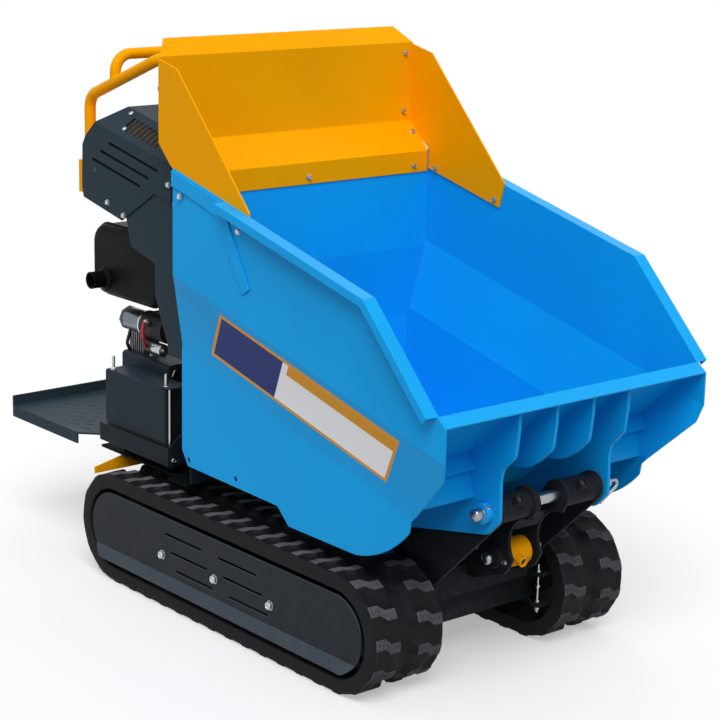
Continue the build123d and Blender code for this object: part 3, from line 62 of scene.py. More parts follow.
# Sizes shared with the part, in metres. Heights are from a datum level, which lies above the ground.
DATUM = np.array([0.0, 0.0, 0.020])
TRACK_X = 0.102
TRACK_Y = 0.260
AXLE_SPAN = 0.800
AXLE_Z = 0.108
BELT_RADIUS = 0.114
LUG_HEIGHT = 0.014
LUG_COUNT = 38
COVER_Y = 0.350
HINGE = np.array([0.721, 0.0, 0.381])
CYLINDER = np.array([0.639, 0.0, 0.245])
FOLD_SLOPE = 0.24
HOOD_FOLD_Z = 0.958
HOOD_FRONT_X = -0.145
HOOD_Y = 0.294
HOOD_FALL = 0.2
HOOD_SLANT_RISE = 0.042
HOOD_SLANT_WIDTH = 0.064


# Camera at the photograph's place

PHOTO_ANGLES = (49.824, 14.109, 1.22)
PHOTO_LENS = 102.37
PHOTO_PLACE = [3.4455, -2.7833, 1.6298]

azimuth, elevation, roll = np.radians(PHOTO_ANGLES)
back = np.array([sin(azimuth) * cos(elevation), -cos(azimuth) * cos(elevation), sin(elevation)])
right = np.array([cos(azimuth), sin(azimuth), 0.0])
up = np.cross(back, right)
lens = bpy.data.cameras.new("photo_camera")
lens.lens = PHOTO_LENS
lens.sensor_width = 36.0
lens.clip_end = 100.0
camera = bpy.data.objects.new("photo_camera", lens)
camera.matrix_world = Matrix.Translation(DATUM + PHOTO_PLACE) @ Matrix(
    np.stack([right * cos(roll) + up * sin(roll), up * cos(roll) - right * sin(roll), back], axis=1).tolist()
).to_4x4()
scene.collection.objects.link(camera)
scene.camera = camera


# Shader maths


class Value:
    """A node's socket: arithmetic on it adds Math nodes to its finish."""

    def __init__(self, finish, socket):
        self.finish = finish
        self.socket = socket

    def maths(self, operation, *others):
        return self.finish.node("ShaderNodeMath", {"operation": operation}, dict(enumerate(others)))

    def __add__(self, other):
        return self.maths("ADD", self, other)

    def __sub__(self, other):
        return self.maths("SUBTRACT", self, other)

    def __rsub__(self, other):
        return self.maths("SUBTRACT", other, self)

    def __mul__(self, other):
        return self.maths("MULTIPLY", self, other)

    def __pow__(self, other):
        return self.maths("POWER", self, other)

    def __abs__(self):
        return self.maths("ABSOLUTE", self)

    def over(self, other):
        return self.maths("MAXIMUM", self, other)

    __radd__ = __add__
    __rmul__ = __mul__


class Finish:
    """A material in the making, with one method for every kind of node."""

    def __init__(self, name):
        self.material = bpy.data.materials.new(name)
        self.material.use_nodes = True
        self.tree = self.material.node_tree
        self.shader = self.tree.nodes["Principled BSDF"]
        self.spot = self.node("ShaderNodeTexCoord", out="Object")
        self.x, self.y, height = (
            self.node("ShaderNodeSeparateXYZ", {}, {0: self.spot}, out=i) for i in range(3)
        )
        self.z = height - float(DATUM[2])

    def node(self, kind, settings={}, inputs={}, out=0):
        """Adds a node: its settings first, then the values or links of its sockets."""
        made = self.tree.nodes.new(kind)
        for key, value in settings.items():
            setattr(made, key, value)
        self.join(made, inputs)
        return Value(self, made.outputs[out])

    def join(self, made, inputs):
        for key, value in inputs.items():
            if isinstance(value, Value):
                self.tree.links.new(value.socket, made.inputs[key])
            else:
                made.inputs[key].default_value = value

    def noise(self, scale, detail=3.0, rough=0.5, stretch=None):
        """Noise from 0 to 1, about 0.5, at so many bumps a metre, drawn out along an axis where asked."""
        spot = self.spot
        if stretch:
            spot = self.node("ShaderNodeVectorMath", {"operation": "MULTIPLY"}, {0: spot, 1: stretch})
        inputs = {"Vector": spot, "Scale": scale, "Detail": detail, "Roughness": rough}
        return self.node("ShaderNodeTexNoise", {}, inputs)

    def ease(self, value, low, high, start=0.0, end=1.0):
        """A smooth step from start to end while the value goes from low to high."""
        inputs = {0: value, 1: low, 2: high, 3: start, 4: end}
        return self.node("ShaderNodeMapRange", {"interpolation_type": "SMOOTHSTEP"}, inputs)

    def mix(self, share, first, second):
        """A colour between two."""
        first, second = (c if isinstance(c, Value) else (*c, 1.0) for c in (first, second))
        return self.node("ShaderNodeMix", {"data_type": "RGBA"}, {0: share, 6: first, 7: second}, out=2)

    def edges(self, size):
        """How near an outer edge is, from 0 on flat places to about 1 on an edge."""
        soft = self.node("ShaderNodeBevel", {"samples": 4}, {"Radius": size})
        true = self.node("ShaderNodeNewGeometry", out="Normal")
        product = {"operation": "DOT_PRODUCT"}
        along = self.node("ShaderNodeVectorMath", product, {0: soft, 1: true}, out="Value")
        return self.ease(along, 0.985, 0.80)

    def facing(self, axis):
        """How far a face looks along an axis, from -1 to 1."""
        normal = self.node("ShaderNodeNewGeometry", out="Normal")
        return self.node("ShaderNodeSeparateXYZ", {}, {0: normal}, out=axis)

    def crevices(self, reach):
        """How hidden a place is, from 0 in the open to 1 in a corner."""
        open_air = self.node("ShaderNodeAmbientOcclusion", {"samples": 4}, {"Distance": reach}, out="AO")
        return self.ease(open_air, 0.85, 0.35)

    def bump(self, height, strength, distance):
        """A bumped normal."""
        inputs = {"Height": height, "Strength": strength, "Distance": distance}
        return self.node("ShaderNodeBump", {}, inputs)

    def done(self, **inputs):
        """Sets the shader's own sockets and gives the material."""
        self.join(self.shader, {key.replace("_", " "): value for key, value in inputs.items()})
        return self.material


def colour(red, green, blue):
    """A colour from its values from 0 to 255 on a screen, as light."""
    values = np.array([red, green, blue]) / 255.0
    return tuple(np.where(values < 0.04045, values / 12.92, ((values + 0.055) / 1.055) ** 2.4).tolist())


BLUE = colour(14, 168, 243)
ORANGE = colour(252, 170, 2)
ANTHRACITE = colour(42, 57, 67)


def coat(name, paint, gloss=0.36, dust=0.06, grain=0.35, shine=0.16, extra=None):
    """Powder coat: a paint that drifts a little in tone, fine orange peel, pale edges that are partly wear
    and partly a painted highlight, and dust in the corners. The extra function may lay a pattern on the paint
    before the wear."""
    f = Finish(name)
    drift = f.noise(3.5, 4.0)
    speck = f.noise(420.0, 2.0)
    tone = f.ease(drift * 0.8 + speck * 0.2, 0.3, 0.7)
    base = f.mix(tone, tuple(c * 0.95 for c in paint), tuple(min(1.0, c * 1.03) for c in paint))
    if extra:
        base = extra(f, base)
    # Pale edges: partly wear, partly a painted highlight where rounded edges catch the light.
    wear_and_edge_highlight = f.edges(0.0016) * f.ease(f.noise(38.0, 4.0, 0.6), 0.42, 0.7)
    pale = tuple(0.72 * c + 0.16 for c in paint)
    base = f.mix(wear_and_edge_highlight * 0.35, base, pale)
    settled = f.crevices(0.03) * f.ease(f.noise(22.0, 5.0, 0.65), 0.35, 0.75) * dust
    low_down = f.ease(f.z, 0.42, 0.04) * f.ease(f.noise(30.0, 5.0, 0.7), 0.4, 0.8) * dust
    base = f.mix(settled.over(low_down), base, colour(150, 140, 124))
    peel = f.noise(650.0, 2.0, 0.4) * 0.7 + f.noise(190.0, 2.0) * 0.3
    dull = f.noise(14.0, 4.0, 0.6)
    roughness = gloss - 0.05 + dull * 0.1 + settled * 0.3 + wear_and_edge_highlight * 0.1
    return f.done(
        Base_Color=base,
        Roughness=roughness,
        Normal=f.bump(peel, grain, 0.0004),
        Specular_IOR_Level=shine,
    )


PANEL_LOW, PANEL_HIGH = 0.600, 0.716
PANEL_REAR, PANEL_FRONT = 0.085, 0.655
PANEL_BORDER = 0.007
PANEL_END_BORDER = 0.008
PANEL_LEAN = 0.55
PANEL_LEAN_LEVEL = 0.655
BLOCK_FRONT = 0.300
STRIPE_REAR = 0.318
STRIPE_LOW = 0.683
PRINT_BLUR = 0.0005


def panel_stripes(f, base):
    """A blank name panel along the wall's fold: a white band with slanted ends, a dark block and orange
    edges. The rise goes up from the fold's slope, and the lean goes along the panel from its slanted end."""
    rise = f.z + f.x * FOLD_SLOPE
    lean = f.x - (rise - PANEL_LEAN_LEVEL) * PANEL_LEAN

    def beyond(value, edge):
        return f.ease(value, edge - PRINT_BLUR, edge + PRINT_BLUR)

    def span(value, low, high):
        return beyond(value, low) * f.ease(value, high + PRINT_BLUR, high - PRINT_BLUR)

    outside = f.ease(f.facing(1) * f.y, 0.0, 0.02)
    rear, front = PANEL_REAR + PANEL_END_BORDER, PANEL_FRONT - PANEL_END_BORDER
    field = span(rise, PANEL_LOW, PANEL_HIGH) * outside * span(lean, PANEL_REAR, PANEL_FRONT)
    height = span(rise, PANEL_LOW + PANEL_BORDER, PANEL_HIGH - PANEL_BORDER) * outside
    inner = height * span(lean, rear, front)
    block = height * span(lean, rear, BLOCK_FRONT)
    stripe = height * span(lean, STRIPE_REAR, front) * beyond(rise, STRIPE_LOW)
    base = f.mix(field, base, colour(233, 158, 26))
    base = f.mix(inner, base, colour(250, 252, 255))
    base = f.mix(block, base, colour(30, 50, 118))
    return f.mix(stripe, base, colour(226, 156, 36))


def upward_painted_light(f, base):
    """Painted light: a paler tone on the faces that lean upwards, such as the cover's lower flare, as if lit
    from above.
    """
    return f.mix(f.ease(f.facing(2), 0.15, 0.45) * 0.55, base, colour(74, 86, 98))


def rubber():
    """Moulded track rubber: near black, and greyed in patches on the ridges of the lugs' tops, a painted
    highlight with a little wear.
    """
    f = Finish("track_rubber")
    ahead = (abs(f.x - TRACK_X) - AXLE_SPAN / 2).over(0.0)
    lift = (ahead * ahead + (f.z - AXLE_Z) * (f.z - AXLE_Z)) ** 0.5
    crest = BELT_RADIUS + LUG_HEIGHT
    top = f.ease(lift, crest - 0.0010, crest - 0.0003)
    # Paler grey in patches on the lugs' crests: a painted highlight, with a little wear.
    crest_highlight_and_wear = top * f.ease(f.noise(48.0, 5.0, 0.7), 0.20, 0.60, 0.45, 1.0)
    mottle = f.noise(18.0, 5.0, 0.6)
    base = f.mix(mottle, colour(14, 15, 17), colour(27, 28, 31))
    base = f.mix(crest_highlight_and_wear * 0.8, base, colour(118, 118, 124))
    grime = f.crevices(0.02) * f.ease(f.noise(40.0, 5.0, 0.7), 0.35, 0.75)
    base = f.mix(grime * 0.07, base, colour(92, 84, 74))
    return f.done(
        Base_Color=base,
        Roughness=0.60 + mottle * 0.18 - crest_highlight_and_wear * 0.06,
        Normal=f.bump(f.noise(300.0, 4.0, 0.6), 0.35, 0.0008),
        Specular_IOR_Level=0.15,
    )


def metal(name, tint, rough, streak=None, stain=0.15):
    """Bare or plated metal: a tint that shifts in patches, machining lines where asked, and dull stains."""
    f = Finish(name)
    patch = f.noise(70.0, 4.0, 0.6)
    lines = f.noise(240.0, 3.0, 0.6, stretch=streak) if streak else f.noise(500.0, 3.0, 0.6)
    base = f.mix(patch, tuple(c * 0.82 for c in tint), tint)
    dull = f.ease(f.noise(26.0, 5.0, 0.7), 0.5, 0.8) * stain
    base = f.mix(dull, base, colour(112, 104, 94))
    return f.done(
        Base_Color=base,
        Metallic=1.0,
        Roughness=rough - 0.06 + lines * 0.12 + dull * 0.4,
        Normal=f.bump(lines, 0.15, 0.0002),
    )


def cast(name, tint, rough=0.62, metallic=0.35, extra=None):
    """Sand-cast metal: grainy and mottled, darker in the corners by painted shade and a little glossier there
    from oil. The extra function may paint it.
    """
    f = Finish(name)
    grain = f.noise(330.0, 4.0, 0.65)
    patch = f.noise(24.0, 4.0, 0.6)
    base = f.mix(patch, tuple(c * 0.75 for c in tint), tuple(min(1.0, c * 1.15) for c in tint))
    # Darker in the corners: painted shade; the lower roughness there stands for oil.
    oil_and_corner_shade = f.crevices(0.02) * f.ease(f.noise(30.0, 4.0, 0.7), 0.4, 0.7)
    base = f.mix(oil_and_corner_shade * 0.6, base, tuple(c * 0.35 for c in tint))
    if extra:
        base = extra(f, base)
    return f.done(
        Base_Color=base,
        Metallic=metallic,
        Roughness=rough + (grain - 0.5) * 0.2 - oil_and_corner_shade * 0.2,
        Normal=f.bump(grain, 0.5, 0.0008),
    )


def black_nose(f, base):
    """Black paint on the starter's nose, out to the right of the engine."""
    return f.mix(f.ease(f.y, -0.128, -0.132), base, colour(21, 22, 24))


def plastic(name, tint, rough=0.45, grain=0.3):
    """Moulded plastic or insulation with a leathery grain."""
    f = Finish(name)
    skin = f.noise(900.0, 2.0, 0.5)
    drift = f.noise(12.0, 3.0)
    base = f.mix(drift, tuple(c * 0.8 for c in tint), tuple(min(1.0, c * 1.15) for c in tint))
    return f.done(Base_Color=base, Roughness=rough - 0.05 + drift * 0.1, Normal=f.bump(skin, grain, 0.0003))


def heat_black():
    """Exhaust paint: soot black with a faint brown bloom where it gets hottest."""
    f = Finish("heat_black")
    bloom = f.ease(f.noise(9.0, 5.0, 0.65), 0.45, 0.8)
    grain = f.noise(520.0, 3.0, 0.6)
    base = f.mix(bloom, colour(10, 12, 14), colour(17, 18, 20))
    return f.done(
        Base_Color=base,
        Roughness=0.42 + bloom * 0.2,
        Normal=f.bump(grain, 0.35, 0.0004),
        Specular_IOR_Level=0.06,
    )


def starter_bands():
    """The starter's can: a drawn-steel sleeve between a grey cast end and a black flange, along its axis."""
    f = Finish("starter_bands")
    lines = f.noise(260.0, 3.0, 0.6, stretch=(0.05, 1.0, 1.0))
    nose = f.ease(f.x, -0.4135, -0.4145)
    flange = f.ease(f.x, -0.3475, -0.3465)
    base = f.mix(lines, colour(82, 92, 100), colour(138, 148, 156))
    base = f.mix(nose, base, colour(74, 75, 79))
    base = f.mix(flange, base, colour(21, 22, 24))
    return f.done(
        Base_Color=base,
        Metallic=(1.0 - flange) * (1.0 - nose * 0.5),
        Roughness=0.24 + nose * 0.25 + flange * 0.25 + lines * 0.06,
        Normal=f.bump(lines, 0.2, 0.0003),
    )


def pin_and_collars():
    """The hinge pin: bright steel lengthways, with its two collars painted like the skip."""
    f = Finish("pin_and_collars")
    across_pin = ((f.x - float(HINGE[0])) ** 2.0 + (f.z - float(HINGE[2])) ** 2.0) ** 0.5
    span = abs(f.y)
    ring = f.ease(span, 0.1535, 0.1540) * f.ease(span, 0.1705, 0.1701) * f.ease(across_pin, 0.0127, 0.0130)
    ring = ring * f.ease(across_pin, 0.0230, 0.0225)
    lines = f.noise(240.0, 3.0, 0.6, stretch=(1.0, 0.03, 1.0))
    steel = f.mix(lines, colour(140, 146, 150), colour(186, 190, 192))
    paint = f.mix(f.noise(420.0, 2.0), tuple(c * 0.93 for c in BLUE), BLUE)
    return f.done(
        Base_Color=f.mix(ring, steel, paint),
        Metallic=1.0 - ring,
        Roughness=0.26 + lines * 0.1 + ring * 0.08,
        Normal=f.bump(lines, 0.15, 0.0002),
    )


blue = coat("skip_blue", BLUE, shine=0.10)
blue_panel = coat("skip_blue_with_panel", BLUE, shine=0.10, extra=panel_stripes)
orange = coat("signal_orange", ORANGE, gloss=0.34, dust=0.03, shine=0.03)
dark = coat("anthracite", ANTHRACITE, gloss=0.46, dust=0.05, grain=0.5, shine=0.06)
bay_coat = coat("bay_coat", colour(35, 48, 59), gloss=0.46, dust=0.05, grain=0.5, shine=0.06)
# The battery tray sits beneath the rest, so its darker anthracite is painted shade.
tray_shade_coat = coat("tray_shade_coat", colour(28, 36, 43), gloss=0.46, dust=0.05, grain=0.5, shine=0.06)
# The track covers' faces that lean upwards get a paler tone: painted light.
cover_coat = coat(
    "cover_coat", colour(38, 43, 49), gloss=0.44, dust=0.05, grain=0.5, shine=0.08, extra=upward_painted_light
)
# The engine deck's near-black is painted shade, for the strip of it that shows in shadow under the tray.
deck_shade_coat = coat("deck_shade_coat", colour(15, 17, 19), gloss=0.6, dust=0.05, grain=0.5, shine=0.03)
under_coat = coat("under_coat", colour(32, 36, 41), gloss=0.5, dust=0.08, grain=0.5, shine=0.05)
tread_rubber = rubber()
zinc = metal("zinc_plate", colour(196, 202, 204), 0.30)
pin_steel = metal("pin_steel", colour(168, 173, 177), 0.30, streak=(1.0, 0.03, 1.0))
chrome = metal("rod_chrome", colour(214, 217, 220), 0.12, streak=(0.04, 1.0, 1.0), stain=0.05)
engine_finish = cast("engine_finish", colour(104, 107, 110), extra=black_nose)
cap_casting = cast("cap_casting", colour(74, 75, 79), 0.5)
alloy = cast("alloy", colour(128, 130, 133), 0.42, 0.6)
iron = cast("wheel_iron", colour(58, 60, 62), 0.6, 0.5)
muffler_paint = heat_black()
sleeve = starter_bands()
black_plastic = plastic("black_plastic", colour(28, 29, 31))
# Near-black matt sheet material: painted shade behind slots.
shade_black = plastic("shade_black", colour(8, 8, 9), 0.9)
boot_rubber = plastic("boot_rubber", colour(30, 30, 31), 0.7, 0.5)
red_sleeve = plastic("red_sleeve", colour(178, 26, 28), 0.4)
spring_red = coat("spring_red", colour(150, 30, 26), gloss=0.4, dust=0.3)
tank_plastic = coat("tank_coat", ANTHRACITE, gloss=0.5, dust=0.06, shine=0.10)


# Making pieces


def piece(name, mesh, material, body, replaced=()):
    """Puts a mesh into the scene as a piece of the object that rides on a body."""
    made = bpy.data.objects.new(name, mesh)
    scene.collection.objects.link(made)
    mesh.materials.clear()
    mesh.materials.append(material)
    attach(made, body)
    if replaced:
        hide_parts(*replaced)
    return made


def rounded(made, width, segments=2, angle=32.0):
    """Rounds a piece's edges."""
    bevel = made.modifiers.new("edge", "BEVEL")
    bevel.width = width
    bevel.segments = segments
    bevel.limit_method = "ANGLE"
    bevel.angle_limit = radians(angle)
    bevel.use_clamp_overlap = False
    bevel.harden_normals = True
    return made


def refined(node, material, crease=32.0, width=0.0011):
    """A CAD node's shape with its triangles joined into whole faces and its edges rounded, in the node's
    place. Bends of less than the crease angle are shaded smooth."""
    source = nodes[node]
    mesh = bpy.data.meshes.new(node + "_shape")
    work = bmesh.new()
    work.from_mesh(source.data)
    bmesh.ops.remove_doubles(work, verts=work.verts, dist=2e-6)
    bmesh.ops.dissolve_limit(work, angle_limit=radians(0.4), verts=work.verts, edges=work.edges)
    work.to_mesh(mesh)
    work.free()
    mesh.shade_smooth()
    mesh.set_sharp_from_angle(angle=radians(crease))
    made = piece(node + "_shape", mesh, material, source["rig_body"], replaced=(node,))
    return rounded(made, width)


def surface(name, points, material, body, around=True, ends=False, **more):
    """A mesh from one or more grids of points, the last three axes being rows, columns and x, y, z. Columns
    close round where asked. Where ends is set, the first and last rows are closed by a flat face."""
    rows, columns = points.shape[-3:-1]
    grids = points.reshape(-1, rows, columns, 3) + DATUM
    index = np.arange(rows * columns).reshape(rows, columns)
    following = np.roll(index, -1, axis=1)
    last = columns if around else columns - 1
    quads = np.stack([index[:-1], following[:-1], following[1:], index[1:]], axis=-1)[:, :last].reshape(-1, 4)
    shift = (np.arange(len(grids)) * rows * columns)[:, None, None]
    faces = (quads + shift).reshape(-1, 4).tolist()
    if ends:
        caps = np.stack([index[0][::-1], index[-1]])
        faces += (caps + shift).reshape(-1, columns).tolist()
    mesh = bpy.data.meshes.new(name)
    mesh.from_pydata(grids.reshape(-1, 3).tolist(), [], faces)
    work = bmesh.new()
    work.from_mesh(mesh)
    bmesh.ops.remove_doubles(work, verts=work.verts, dist=1e-6)
    bmesh.ops.dissolve_degenerate(work, edges=work.edges, dist=1e-7)
    bmesh.ops.recalc_face_normals(work, faces=work.faces)
    work.to_mesh(mesh)
    work.free()
    mesh.shade_smooth()
    mesh.set_sharp_from_angle(angle=radians(34.0))
    return piece(name, mesh, material, body, **more)


def across(axis):
    """Two directions square to each axis and to each other."""
    axis = np.asarray(axis, float)
    axis = axis / np.linalg.norm(axis, axis=-1, keepdims=True)
    other = np.where(np.abs(axis[..., 2:]) < 0.8, [0.0, 0.0, 1.0], [1.0, 0.0, 0.0])
    first = np.cross(other, axis)
    first = first / np.linalg.norm(first, axis=-1, keepdims=True)
    return axis, first, np.cross(axis, first)


def around_axis(angle, first, second):
    """Directions at angles round an axis, from the two directions square to it."""
    return first * np.cos(angle)[:, None] + second * np.sin(angle)[:, None]


def turned(profile, places, axes, sides=24, hexed=None):
    """Points of a profile (radius, height) turned round an axis at each place. A row with a share of hex
    takes the radius of a hexagon, r / cos(angle to the nearest flat), in that share."""
    profile = np.asarray(profile, float)
    places = np.atleast_2d(np.asarray(places, float))
    axis, first, second = across(np.broadcast_to(np.asarray(axes, float), places.shape))
    angle = np.arange(sides) * 2 * pi / sides
    share = np.zeros(len(profile)) if hexed is None else np.asarray(hexed, float)
    flats = 1.0 / np.cos((angle + pi / 6) % (pi / 3) - pi / 6)
    radius = profile[:, :1] * (1 + share[:, None] * (flats - 1)[None, :])
    ring = around_axis(angle, first[:, None], second[:, None])
    rise = profile[:, 1][None, :, None, None] * axis[:, None, None, :]
    return places[:, None, None, :] + rise + radius[None, :, :, None] * ring[:, None, :, :]


def bolts(name, places, axes, size, body, material=None, washer=True):
    """Hex bolts with washers: size is the thread's diameter, and the head is 1.7 of it across its flats."""
    s = size
    base = [
        (0, -0.2 * s),
        (1.05 * s, -0.2 * s),
        (1.1 * s, 0.02 * s),
        (1.08 * s, 0.16 * s),
        (0.86 * s, 0.18 * s),
    ]
    start = 0.18 * s if washer else -0.1 * s
    head = [
        (0.86 * s, start),
        (0.86 * s, start + 0.5 * s),
        (0.80 * s, start + 0.62 * s),
        (0.62 * s, start + 0.66 * s),
        (0.58 * s, start + 0.60 * s),
        (0, start + 0.60 * s),
    ]
    profile = (base if washer else [(0, start)]) + head
    share = [0] * (len(profile) - 6) + [1, 1, 0.35, 0, 0, 0]
    return surface(name, turned(profile, places, axes, 24, share), material or zinc, body)


def domes(name, places, axes, size, body, material=None):
    """Button-head screws with a sunk hex socket."""
    s = size
    curve = np.linspace(0, pi / 2, 6)
    cap = [(s * np.cos(a), 0.62 * s * np.sin(a)) for a in curve[:-1]]
    profile = [(0, -0.2 * s), (s, -0.2 * s), *cap, (0.36 * s, 0.60 * s), (0.36 * s, 0.34 * s), (0, 0.30 * s)]
    share = [0] * (len(profile) - 3) + [1, 1, 0]
    return surface(name, turned(profile, places, axes, 24, share), material or zinc, body)


def tube(name, path, radius, material, body, sides=12, ends=True, side=(0.0, 0.0, 1.0), **more):
    """Round tubes along one or more paths: at each point a ring square to the path, kept level by the side
    direction."""
    path = np.asarray(path, float)
    path = path.reshape(-1, *path.shape[-2:])
    run = np.gradient(path, axis=1)
    run = run / np.linalg.norm(run, axis=-1, keepdims=True)
    level = np.broadcast_to(np.asarray(side, float), run.shape)
    first = level - (level * run).sum(-1, keepdims=True) * run
    first = first / np.linalg.norm(first, axis=-1, keepdims=True)
    second = np.cross(run, first)
    angle = np.arange(sides) * 2 * pi / sides
    ring = around_axis(angle, first[:, :, None], second[:, :, None])
    size = np.broadcast_to(np.asarray(radius, float), path.shape[:2])
    return surface(name, path[:, :, None] + ring * size[:, :, None, None], material, body, ends=ends, **more)


DROP_PITCH = 0.006


def beads(name, starts, stops, size, material, body, side=(0.3, 0.5, 0.8)):
    """Weld beads between pairs of points: a tube whose radius swells with each overlapping drop."""
    starts, stops = np.atleast_2d(starts).astype(float), np.atleast_2d(stops).astype(float)
    along = np.linspace(0, 1, 61)[None, :, None]
    path = starts[:, None] * (1 - along) + stops[:, None] * along
    length = np.linalg.norm(stops - starts, axis=-1)[:, None]
    drop = np.abs(np.sin(along[..., 0] * length / DROP_PITCH * pi / 2))
    swell = size * (0.8 + 0.25 * drop) * np.minimum(1, 12 * np.minimum(along, 1 - along)[..., 0] + 0.3)
    return tube(name, path, swell, material, body, sides=8, side=side)


def ring_beads(name, centres, axes, radius, size, material, body):
    """Weld beads round bars: a closed ring whose thickness swells with each drop."""
    centres = np.atleast_2d(np.asarray(centres, float))
    axis, first, second = across(np.broadcast_to(np.asarray(axes, float), centres.shape))
    turn = np.arange(72) * 2 * pi / 72
    out = around_axis(turn, first[:, None], second[:, None])
    girth = np.arange(8) * 2 * pi / 8
    swell = size * (0.85 + 0.3 * np.abs(np.sin(turn * 9)))[None, :, None, None]
    rim = around_axis(girth, out[:, :, None], axis[:, None, None])
    points = centres[:, None, None] + out[:, :, None] * radius + rim * swell
    closed = np.concatenate([points, points[:, :1]], axis=1)
    return surface(name, closed, material, body)


def plate(name, corners, thickness, material, body):
    """A flat plate: its corners in order, and the same corners moved square to it by the thickness."""
    face = np.asarray(corners, float)
    square = np.cross(face[1] - face[0], face[-1] - face[0])
    square = square / np.linalg.norm(square) * thickness
    points = np.stack([face, face + square])
    return rounded(surface(name, points, material, body, ends=True), min(0.0012, thickness * 0.3))


# The CAD pieces with their finishes

FINISHES = [
    (blue, 12.0, "tub_back_wall tub_floor tub_keels lip_ribs cross_channel wall_doublers rod_lugs"),
    (blue_panel, 10.0, "tub_right_wall tub_left_wall"),
    (orange, 24.0, "extension_back extension_wings handle_frame control_panel rear_guard cylinder_barrel"),
    (dark, 24.0, "platform column_panels hood_panels"),
    (deck_shade_coat, 24.0, "engine_deck"),
    (bay_coat, 24.0, "battery_cover switch_box"),
    (tray_shade_coat, 24.0, "battery_tray"),
    (cover_coat, 14.0, "right_track_cover left_track_cover"),
    (under_coat, 24.0, "crossmembers main_frame hinge_tower right_track_frame left_track_frame"),
    (pin_and_collars(), 32.0, "hinge_pin"),
    (pin_steel, 32.0, "platform_hinge_rod"),
    (chrome, 32.0, "cylinder_rod"),
    (
        iron,
        32.0,
        "right_sprocket left_sprocket right_idler left_idler right_rollers left_rollers "
        "right_drive_motor left_drive_motor",
    ),
    (engine_finish, 32.0, "engine_block"),
    (black_plastic, 32.0, "battery control_levers"),
    (tank_plastic, 32.0, "hydraulic_tank"),
    (muffler_paint, 32.0, "muffler"),
    (sleeve, 32.0, "starter_motor"),
]
for finish, crease, names in FINISHES:
    for node in names.split():
        refined(node, finish, crease)


# Tracks

LUG_PITCH = (2 * AXLE_SPAN + 2 * pi * BELT_RADIUS) / LUG_COUNT
LUG_MIDDLE = 0.0565
LUG_STEP = 0.006
LUG_SLANT = 0.0076
BELT_THICKNESS = 0.022
BELT_HALF_WIDTH = 0.090
RIDGE_PITCH = 0.0017
GROOVE_DEPTH = 0.0012
DENT_DEPTH = 0.0032
DENT_HALF_LENGTH = 0.0115
DENT_HALF_WIDTH = 0.011
ROW_GAP = 0.024


def on_belt(distance, y, lift):
    """Points on a track: a distance along the belt from the rear end of the top run, y, and a lift off its
    outside. The belt is two straight runs and two half circles, so the place is the middle of a wheel, a run
    back, and a radius."""
    arc = pi * BELT_RADIUS
    half = AXLE_SPAN + arc
    distance = distance % (2 * half)
    lower = distance >= half
    along = distance - lower * half
    turn = pi * lower + np.maximum(0.0, along - AXLE_SPAN) / BELT_RADIUS
    run = np.maximum(0.0, AXLE_SPAN - along)
    radius = BELT_RADIUS + lift
    centre = TRACK_X + np.where(lower, -0.5, 0.5) * AXLE_SPAN
    x = centre - run * np.cos(turn) + radius * np.sin(turn)
    z = AXLE_Z + run * np.sin(turn) + radius * np.cos(turn)
    return np.stack(np.broadcast_arrays(x, y, z), axis=-1)


def lug_columns():
    """A lug row's columns from the belt's middle outwards: the place across the row, the share of a lug's
    height that stands there, the share that stays between two lugs, and a groove's depth. Over the top,
    ridges and grooves take turns."""
    top = np.arange(-0.0290, 0.0300, RIDGE_PITCH)
    place = np.concatenate([[-0.0440, -0.0390, -0.0340, -0.0305], top, [0.0306, 0.0314, 0.0322]])
    share = np.concatenate([[0.0, 0.30, 0.85, 0.97], np.ones_like(top), [0.98, 0.92, 0.84]])
    floor = np.interp(place, [-0.044, -0.031, -0.005, 0.020, 0.0322], [0.0, 0.30, 0.42, 0.50, 0.78])
    groove = np.concatenate([np.zeros(4), np.arange(len(top)) % 2 * GROOVE_DEPTH, np.zeros(3)])
    return place, share, floor, groove


